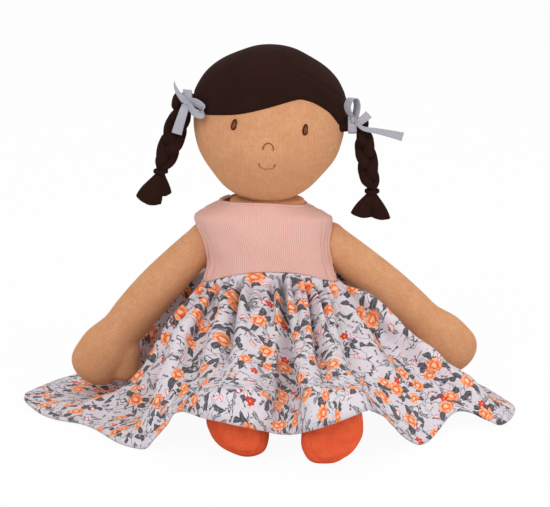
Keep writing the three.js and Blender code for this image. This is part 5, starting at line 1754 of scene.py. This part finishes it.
# Half width and half height of an armhole, of its cord's section and of the neck cord's
ARMHOLE = (0.0145, 0.017)
ARMHOLE_CORD = (0.0017, 0.0011)
NECK_CORD = (0.0008, 0.0010)

# Drag lines down the bodice: share of a turn and depth
DRAG_LINES = ((0.165, 0.0009), (0.19, 0.0012), (-0.175, 0.0006))

# A back panel: how much narrower than the opening, its lap, wall, the share of the height at
# which it starts, its flat size, the rise of the left one over the tapes, and its hem stitch
PANEL_GAP = 0.00084
PANEL_LAP = 0.006
PANEL_WALL = 0.00112
PANEL_START = 0.055
PANEL_FLAT = (0.043, 0.05)
PANEL_RISE = 0.00225
PANEL_HEM = (0.003, 0.0005, 0.0003)


# The dress's neck edge: how far it falls for each metre to the doll's left and to the back,
# how far its ends fall, times the square of the way across, and how far its front rises
NECK_LEFT_FALL = 0.045
NECK_BACK_FALL = 0.05
NECK_END_FALL = 3.2
NECK_FRONT_RISE = 0.0007

# How far the dress leans right at the shoulders, and the most that it leans
DRESS_LEAN = 0.002
MOST_LEAN = 0.0047


def waist_at(turns):
    """Height of the waist seam: it dips at the sides by the square of the sine of the turn."""
    s = sizes()
    return s.waist_height - s.waist_dip * np.sin(turns * TURN) ** 2


def bodice_point(turns, share):
    """The dress above the waist: a rounded box outline whose half sizes follow the table."""
    s = sizes()
    x, y = boxy(turns, s.waist_half_width * read_table(BODICE[:, 0], BODICE[:, 1], share),
                s.waist_half_depth * read_table(BODICE[:, 0], BODICE[:, 2], share))
    low = waist_at(turns)
    height = low + (s.neck_edge_height - low) * share
    lean = DRESS_LEAN * (height - s.waist_height) / (SHOULDERS["left"][2] - s.waist_height)
    height = height - (NECK_LEFT_FALL * x + NECK_BACK_FALL * np.maximum(y, 0)) * share ** 3
    height = height - NECK_END_FALL * x ** 2 * share ** 6
    height = height + NECK_FRONT_RISE * share ** 4 * smoothstep(0.0, 0.012, -y)
    return spread(x - np.clip(lean, 0, MOST_LEAN), y, height)


def from_armhole(grid, name):
    """How far points are from an armhole's middle, in shares of its oval's half sizes."""
    _, y, z = SHOULDERS[name]
    return np.hypot((grid[..., 1] - y) / ARMHOLE[0], (grid[..., 2] - z) / ARMHOLE[1])


class DOLL_OT_bodice(bpy.types.Operator):
    """Builds the bodice's front and sides, with bound armholes and neck, and its back panels"""

    bl_idname = "doll.bodice"
    bl_label = "Bodice"

    def execute(self, context):
        """Bodice: a sheet with an armhole in each side, and cords along the armholes and the
        neck edge. Back panels: the same surface behind, the left one lifted over the right."""
        rows, columns = 70, 300
        edge = 0.5 - turns_for(BACK_OPENING, BACK_HALF_WIDTH)
        grid, square = self.open_armholes(self.draped(rows, columns, edge))
        piece = cloth_shell("bodice_cloth", grid, -sizes().bodice_wall, 0.0, False)
        self.cut(piece, square, rows, columns)
        settle(piece, "torso", "rib", "bodice")
        for name, side in SIDES:
            self.bind_armhole(name, side)
        path = bodice_point(np.linspace(-edge, edge, 160), np.full(160, 0.985))
        wide, deep = (half * taper(160, 0.02) for half in NECK_CORD)
        settle(skin("neck_binding", tube_rings(path, wide, deep, (0, 0, 1), 14)), "torso", "rib")
        for name, side in SIDES[::-1]:
            self.back_panel(name, side)
        return {"FINISHED"}

    @staticmethod
    def draped(rows, columns, edge):
        """The dress's surface, pushed out and in along its normals: soft lumps, pinches above
        the waist seam, drag lines below the arms and a groove round each armhole."""
        turns, share = np.meshgrid(np.linspace(-edge, edge, columns), np.linspace(0, 1, rows))
        grid = bodice_point(turns, share)
        pinch = bell(share - 0.1, 0.16) * smoothstep(0.13, 0.2, np.abs(turns)) * np.cos(turns * TURN * 26)
        drag = 0.0009 * pinch + 0.0005 * lumps(grid, pitch=0.03, seed=0.2)
        for place, depth in DRAG_LINES:
            drag = drag - depth * bell(turns - place, 0.006) * np.sin(np.clip(share * 1.2, 0, 1) * pi)
        for name, side in SIDES:
            groove = 0.0005 * bell(from_armhole(grid, name) - 1.38, 0.045)
            drag = drag - groove * (np.sign(grid[..., 0]) == side)
        return grid + grid_normals(grid, False) * drag[..., None]

    @staticmethod
    def open_armholes(grid):
        """Moves the points inside an armhole that border its rim out to the rim. Gives the grid
        and which of its squares stay: those with a corner outside both armholes."""
        rows, columns = grid.shape[:2]
        insides, scales = [], []
        for name, side in SIDES:
            far = from_armhole(grid, name)
            insides.append((far < 1) & (np.sign(grid[..., 0]) == side))
            scales.append(np.where(insides[-1], 1 / np.maximum(far, 0.01), 1))
        solid = ~(insides[0] | insides[1])
        square = solid[:-1, :-1] | solid[1:, :-1] | solid[:-1, 1:] | solid[1:, 1:]
        keep = np.zeros((rows, columns), bool)
        for down in (0, 1):
            for along in (0, 1):
                keep[down:rows - 1 + down, along:columns - 1 + along] |= square
        for (name, _), inside, scale in zip(SIDES, insides, scales):
            move = inside & keep
            for axis in (1, 2):
                middle, old = SHOULDERS[name][axis], grid[..., axis]
                grid[..., axis] = np.where(move, middle + (old - middle) * scale, old)
        return grid, square

    @staticmethod
    def cut(piece, square, rows, columns):
        """Takes the faces of the armholes out of both layers and closes the wall round them."""
        mesh = bmesh.new()
        mesh.from_mesh(piece.data)
        mesh.faces.ensure_lookup_table()
        faces_in_layer = (rows - 1) * (columns - 1)
        points_in_layer = rows * columns
        gone = np.flatnonzero(~square.ravel())
        faces = [mesh.faces[int(i) + layer * faces_in_layer] for layer in (0, 1) for i in gone]
        bmesh.ops.delete(mesh, geom=faces, context="FACES")
        mesh.verts.index_update()
        pairs = {}
        for edge in [edge for edge in mesh.edges if edge.is_boundary]:
            ends = tuple(sorted(point.index % points_in_layer for point in edge.verts))
            pairs.setdefault(ends, []).append(edge)
        layer = mesh.loops.layers.uv.active
        for both in pairs.values():
            if len(both) == 2:
                a, b = both[0].verts
                c, d = both[1].verts
                if a.index % points_in_layer != c.index % points_in_layer:
                    c, d = d, c
                face = mesh.faces.new((a, b, d, c))
                face.smooth = True
                for loop in face.loops:
                    loop[layer].uv = loop.link_loop_radial_next[layer].uv
        loose = [point for point in mesh.verts if not point.link_faces]
        bmesh.ops.delete(mesh, geom=loose, context="VERTS")
        bmesh.ops.recalc_face_normals(mesh, faces=mesh.faces)
        mesh.to_mesh(piece.data)
        mesh.free()

    @staticmethod
    def bind_armhole(name, side):
        """A cord round an armhole, laid on the dress's surface: each place is found by moving
        along the surface to the oval's rim."""
        angle = full_turn(90)
        y = SHOULDERS[name][1] + ARMHOLE[0] * np.cos(angle)
        z = SHOULDERS[name][2] + ARMHOLE[1] * np.sin(angle)
        turns = np.full_like(angle, 0.25)
        share = np.full_like(angle, 0.5)
        for _ in range(40):
            point = bodice_point(turns, share)
            turns = turns + (y - point[:, 1]) * 3.0
            share = np.clip(share + (z - point[:, 2]) * 12, 0, 1)
        path = bodice_point(turns * side, share)
        outward = unit(path - np.array([0, path[:, 1].mean(), path[:, 2].mean()]))
        along = unit(np.roll(path, -1, 0) - np.roll(path, 1, 0))
        across = unit(np.cross(along, outward))
        through = np.cross(across, along)
        section = full_turn(14)[None, :, None]
        rings = path[:, None] + across[:, None] * ARMHOLE_CORD[0] * np.cos(section)
        rings = rings + through[:, None] * ARMHOLE_CORD[1] * np.sin(section)
        settle(torus(f"armhole_binding_{name}", rings), "torso", "rib")

    @staticmethod
    def back_panel(name, side):
        """A panel from beside the opening to past its middle; the left one rises over the tapes
        and laps the right one."""
        edge = turns_for(BACK_OPENING - PANEL_GAP, BACK_HALF_WIDTH)
        lap = turns_for(PANEL_LAP, BACK_HALF_WIDTH)
        start, end = (0.5 - edge, 0.5 + lap) if side > 0 else (0.5 - lap, 0.5 + edge)
        turns, share = np.meshgrid(np.linspace(start, end, 60), np.linspace(PANEL_START, 1, 60))
        place = np.broadcast_to(np.linspace(0, 1, 60)[None], turns.shape)
        near = np.minimum(to_edge(place) * PANEL_FLAT[0],
                          np.minimum(share - PANEL_START, 1 - share) * PANEL_FLAT[1])
        hem_in, hem_width, hem_depth = PANEL_HEM
        hem = hem_depth * bell(near - hem_in, hem_width)
        rise = (PANEL_RISE + PANEL_WALL) * smoothstep(0.05, 0.6, place) * (side > 0)
        grid = bodice_point(turns, share)
        piece = cloth_shell(f"back_panel_{name}", grid, rise - PANEL_WALL, rise - hem, False)
        settle(piece, f"dress_back_{name}", "rib", f"dress_back_{name}")


# Skirt


# How many columns lie between two folds, and rows from the waist to the hem
PER_FOLD = 22
SKIRT_ROWS = 64

# Gathers under the waist seam: how many, their depth, and how soon they fade
GATHERS = 44
GATHER_DEPTH = 0.0012
GATHER_FADE = 0.13

# Lumps of the skirt: height, pitch, seed, and where they start and are full. Then the least
# height of the cloth's middle
SKIRT_LUMPS = ((0.0020, 0.045, 0.9, 0.1, 0.5), (0.0008, 0.018, 2.2, 0.1, 0.35))
SKIRT_FLOOR = 0.0010

# Girth of the flat cloth at the waist, and how many columns even out its length on each side
FLAT_WAIST = 0.25
EVEN_OUT = 16


class DOLL_OT_skirt(bpy.types.Operator):
    """Builds the gathered skirt that spreads over the legs and the floor"""

    bl_idname = "doll.skirt"
    bl_label = "Skirt"

    def execute(self, context):
        """Skirt: each fold is a line from the waist to the hem, and smooth curves join the
        folds round the doll. The cloth is pressed in by its gathers and creases, and doubled
        at the hem."""
        down = (np.linspace(0, 1, SKIRT_ROWS) ** 1.1)[:, None]
        turns, grid = self.draped(down)
        press = self.creased(turns, down) + self.gathered(turns, down)
        for height, pitch, seed, start, full in SKIRT_LUMPS:
            press += height * lumps(grid, pitch, seed) * smoothstep(start, full, down)
        press *= np.minimum(1, (grid[..., 2] - 0.001) / 0.012).clip(0.1, 1)
        grid = grid - grid_normals(grid, True) * press[..., None]
        grid[..., 2] = np.maximum(grid[..., 2], SKIRT_FLOOR)
        half_wall = sizes().skirt_wall / 2 * (1 + 1.2 * smoothstep(0.958, 0.966, down))
        piece = cloth_shell("skirt_cloth", grid, half_wall, -half_wall, True, self.unrolled(grid))
        settle(piece, "torso", "print", "skirt")
        return {"FINISHED"}

    @staticmethod
    def draped(down):
        """The cloth's surface before its creases, and each column's share of a turn."""
        s = sizes()
        turn_of, out_x, out_y = (np.array(column) for column in list(zip(*FOLDS))[:3])
        x, y = boxy(turn_of, s.waist_half_width, s.waist_half_depth)
        top = waist_at(turn_of) - 0.00035
        heights = np.array([(1, *CLOTH[fold[3]]) for fold in FOLDS])
        spokes = spread(
            x + (out_x * s.skirt_reach - x) * CLOTH_ROWS[:, None],
            y + (out_y * s.skirt_reach - y) * CLOTH_ROWS[:, None],
            top * heights.T,
        )
        spokes = read_table(CLOTH_ROWS, spokes, down[:, 0])
        grid = np.moveaxis(ring_spline(np.moveaxis(spokes, 0, 1), PER_FOLD), 0, 1)
        knots = np.append(turn_of, turn_of[0] + 1)
        turns = np.interp(np.arange(grid.shape[1]) / PER_FOLD, np.arange(len(knots)), knots)
        return (turns + 0.5) % 1 - 0.5, grid

    @staticmethod
    def creased(turns, down):
        """Depth of the creases: each is a bell-shaped valley between two lower banks, which
        widens and fades on its way down."""
        press = np.zeros((len(down), len(turns)))
        for place, depth, width, reach in np.concatenate([CREASES, BACK_CREASES]):
            away = np.abs((turns - place + 0.5) % 1 - 0.5)[None]
            wide = width * (1 + 1.2 * down)
            banks = 0.45 * bell(away - 2 * wide, wide) * smoothstep(0.04, 0.2, down)
            shown = smoothstep(0, 0.06, down) * smoothstep(reach, reach * 0.45, down)
            press += depth * (banks - bell(away, wide)) * shown
        return press

    @staticmethod
    def gathered(turns, down):
        """Depth of the gathers: waves round the waist whose spacing wanders, fading downwards."""
        wander = 3 * np.sin(turns * TURN * 5) + 1.6 * np.sin(turns * TURN * 13)
        waves = np.cos(turns * TURN * GATHERS + wander)[None]
        return GATHER_DEPTH * waves * np.exp(-down / GATHER_FADE) * smoothstep(0, 0.025, down)

    @staticmethod
    def unrolled(grid):
        """The cloth's map, in metres: a flared cut, whose rings grow from the waist to the hem."""
        length = run(grid)
        length = sum(np.roll(length, step, 1) for step in range(-EVEN_OUT, EVEN_OUT + 1)) / (2 * EVEN_OUT + 1)
        across = np.linalg.norm(np.roll(grid, -1, 1) - grid, axis=-1)
        girth = np.concatenate([[0], np.cumsum(across.mean(0))])
        hem = across[int(SKIRT_ROWS * 0.8)].sum()
        inner_radius = FLAT_WAIST * length[-1].mean() / (hem - FLAT_WAIST)
        angle = girth / girth[-1] * hem / (inner_radius + length[-1].mean() * 0.8)
        radius = inner_radius + np.concatenate([length, length[:, :1]], 1)
        return spread(radius * np.cos(angle), radius * np.sin(angle))


# Stage


# Lamps: place, width and power
LAMPS = {
    "key": ((-0.9, -1.7, 1.7), 1.3, 24),
    "fill": ((1.5, -1.4, 0.9), 1.5, 15),
    "top": ((0.2, 0.7, 1.9), 1.4, 9),
}
LAMP_AIM = Vector((0, 0, 0.11))

# Floor: width, place and two shades of its paper
FLOOR_WIDTH = 14
FLOOR_PLACE = (0, 2, -0.0002)
PAPER_SHADES = ((0.86, 0.86, 0.86, 1), (0.88, 0.88, 0.88, 1))

# Strength of the white from all round, and the share of the paper's look that is its own white
WORLD_STRENGTH = 0.52
PAPER_WHITE_SHARE = 0.95

# Camera: height angle, distance, width of the picture at the doll, and the place it looks at
CAMERA_ELEVATION = radians(15)
CAMERA_DISTANCE = 6.0
PICTURE_WIDTH = 0.38775
CAMERA_AIM = Vector((0.0035, 0, 0.1086))
SENSOR_MM = 36


class DOLL_OT_stage(bpy.types.Operator):
    """Sets up the floor, the lights, the world and the camera"""

    bl_idname = "doll.stage"
    bl_label = "Stage"

    def execute(self, context):
        """Stage: a paper floor, three soft lamps, a white world and a far camera."""
        scene = context.scene
        scene.view_settings.view_transform = "Standard"
        bpy.ops.mesh.primitive_plane_add(size=FLOOR_WIDTH, location=FLOOR_PLACE)
        floor = context.object
        floor.name = "floor"
        floor.data.materials.append(self.paper())
        for name, (place, width, power) in LAMPS.items():
            self.light(name, place, width, power)
        self.world()
        self.camera(scene)
        return {"FINISHED"}

    @staticmethod
    def paper():
        """White paper: part of what the camera sees is its own white, so that the object's
        shadow stays soft."""
        material = bpy.data.materials.new("white paper")
        made = Nodes(material, "Material")
        tones = made.mix(*PAPER_SHADES, made.noise(made.object_place(), 0.2))
        matt = made.node("BsdfDiffuse", {"Color": tones}).outputs[0]
        own_white = made.node("Emission").outputs[0]
        share = made.math("MULTIPLY", made.seen(), PAPER_WHITE_SHARE)
        made.feed(made.output.inputs[0], made.node("MixShader", {0: share, 1: matt, 2: own_white}).outputs[0])
        return material

    @staticmethod
    def light(name, place, width, power):
        """A square lamp that points at the doll."""
        data = bpy.data.lights.new(name, "AREA")
        data.size = width
        data.energy = power
        lamp = bpy.data.objects.new(name, data)
        lamp.location = place
        lamp.rotation_euler = (LAMP_AIM - Vector(place)).to_track_quat("-Z", "Y").to_euler()
        bpy.context.scene.collection.objects.link(lamp)

    @staticmethod
    def world():
        """Soft white light from all round, seen as plain white."""
        world = bpy.data.worlds.new("studio")
        bpy.context.scene.world = world
        made = Nodes(world, "World")
        white = (1, 1, 1, 1)
        lit, shown = (made.node("Background", {"Color": white, "Strength": strength}).outputs[0]
                      for strength in (WORLD_STRENGTH, 1.0))
        mixed = made.node("MixShader", {0: made.seen(), 1: lit, 2: shown}).outputs[0]
        made.feed(made.output.inputs[0], mixed)

    @staticmethod
    def camera(scene):
        """The camera looks along +Y and down from far away, and its lens follows from the width
        of the picture at the doll."""
        data = bpy.data.cameras.new("camera")
        data.sensor_width = SENSOR_MM
        data.lens = SENSOR_MM * CAMERA_DISTANCE / PICTURE_WIDTH
        data.clip_end = 50
        eye = bpy.data.objects.new("camera", data)
        back = Vector((0, -cos(CAMERA_ELEVATION), sin(CAMERA_ELEVATION)))
        eye.location = CAMERA_AIM + back * CAMERA_DISTANCE
        eye.rotation_euler = (-back).to_track_quat("-Z", "Y").to_euler()
        scene.collection.objects.link(eye)
        scene.camera = eye


STEPS = (
    DOLL_OT_stage, DOLL_OT_head, DOLL_OT_face, DOLL_OT_hair, DOLL_OT_bows, DOLL_OT_braids, DOLL_OT_torso,
    DOLL_OT_heat_pack, DOLL_OT_arms, DOLL_OT_legs, DOLL_OT_bodice, DOLL_OT_skirt,
)


class DOLL_PT_panel(bpy.types.Panel):
    """Lists the steps that build the doll"""

    bl_idname = "DOLL_PT_panel"
    bl_label = "Heat pack doll"
    bl_space_type = "VIEW_3D"
    bl_region_type = "UI"
    bl_category = "Doll"

    def draw(self, context):
        """One button for each step, then the sizes and the colours."""
        for step in STEPS:
            self.layout.operator(step.bl_idname)
        for group in (context.scene.doll_sizes, context.scene.doll_colours):
            box = self.layout.box()
            for name in group.__annotations__:
                box.prop(group, name)


CLASSES = (DollSizes, DollColours, *STEPS, DOLL_PT_panel)


def register():
    """Registers the classes and puts the sizes and colours on the scene."""
    for item in CLASSES:
        bpy.utils.register_class(item)
    bpy.types.Scene.doll_sizes = bpy.props.PointerProperty(type=DollSizes)
    bpy.types.Scene.doll_colours = bpy.props.PointerProperty(type=DollColours)


def unregister():
    """Takes away what register put in place."""
    del bpy.types.Scene.doll_colours
    del bpy.types.Scene.doll_sizes
    for item in reversed(CLASSES):
        bpy.utils.unregister_class(item)


def main():
    """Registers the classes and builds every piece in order."""
    register()
    for step in STEPS:
        group, name = step.bl_idname.split(".")
        getattr(getattr(bpy.ops, group), name)()


if __name__ == "__main__":
    main()
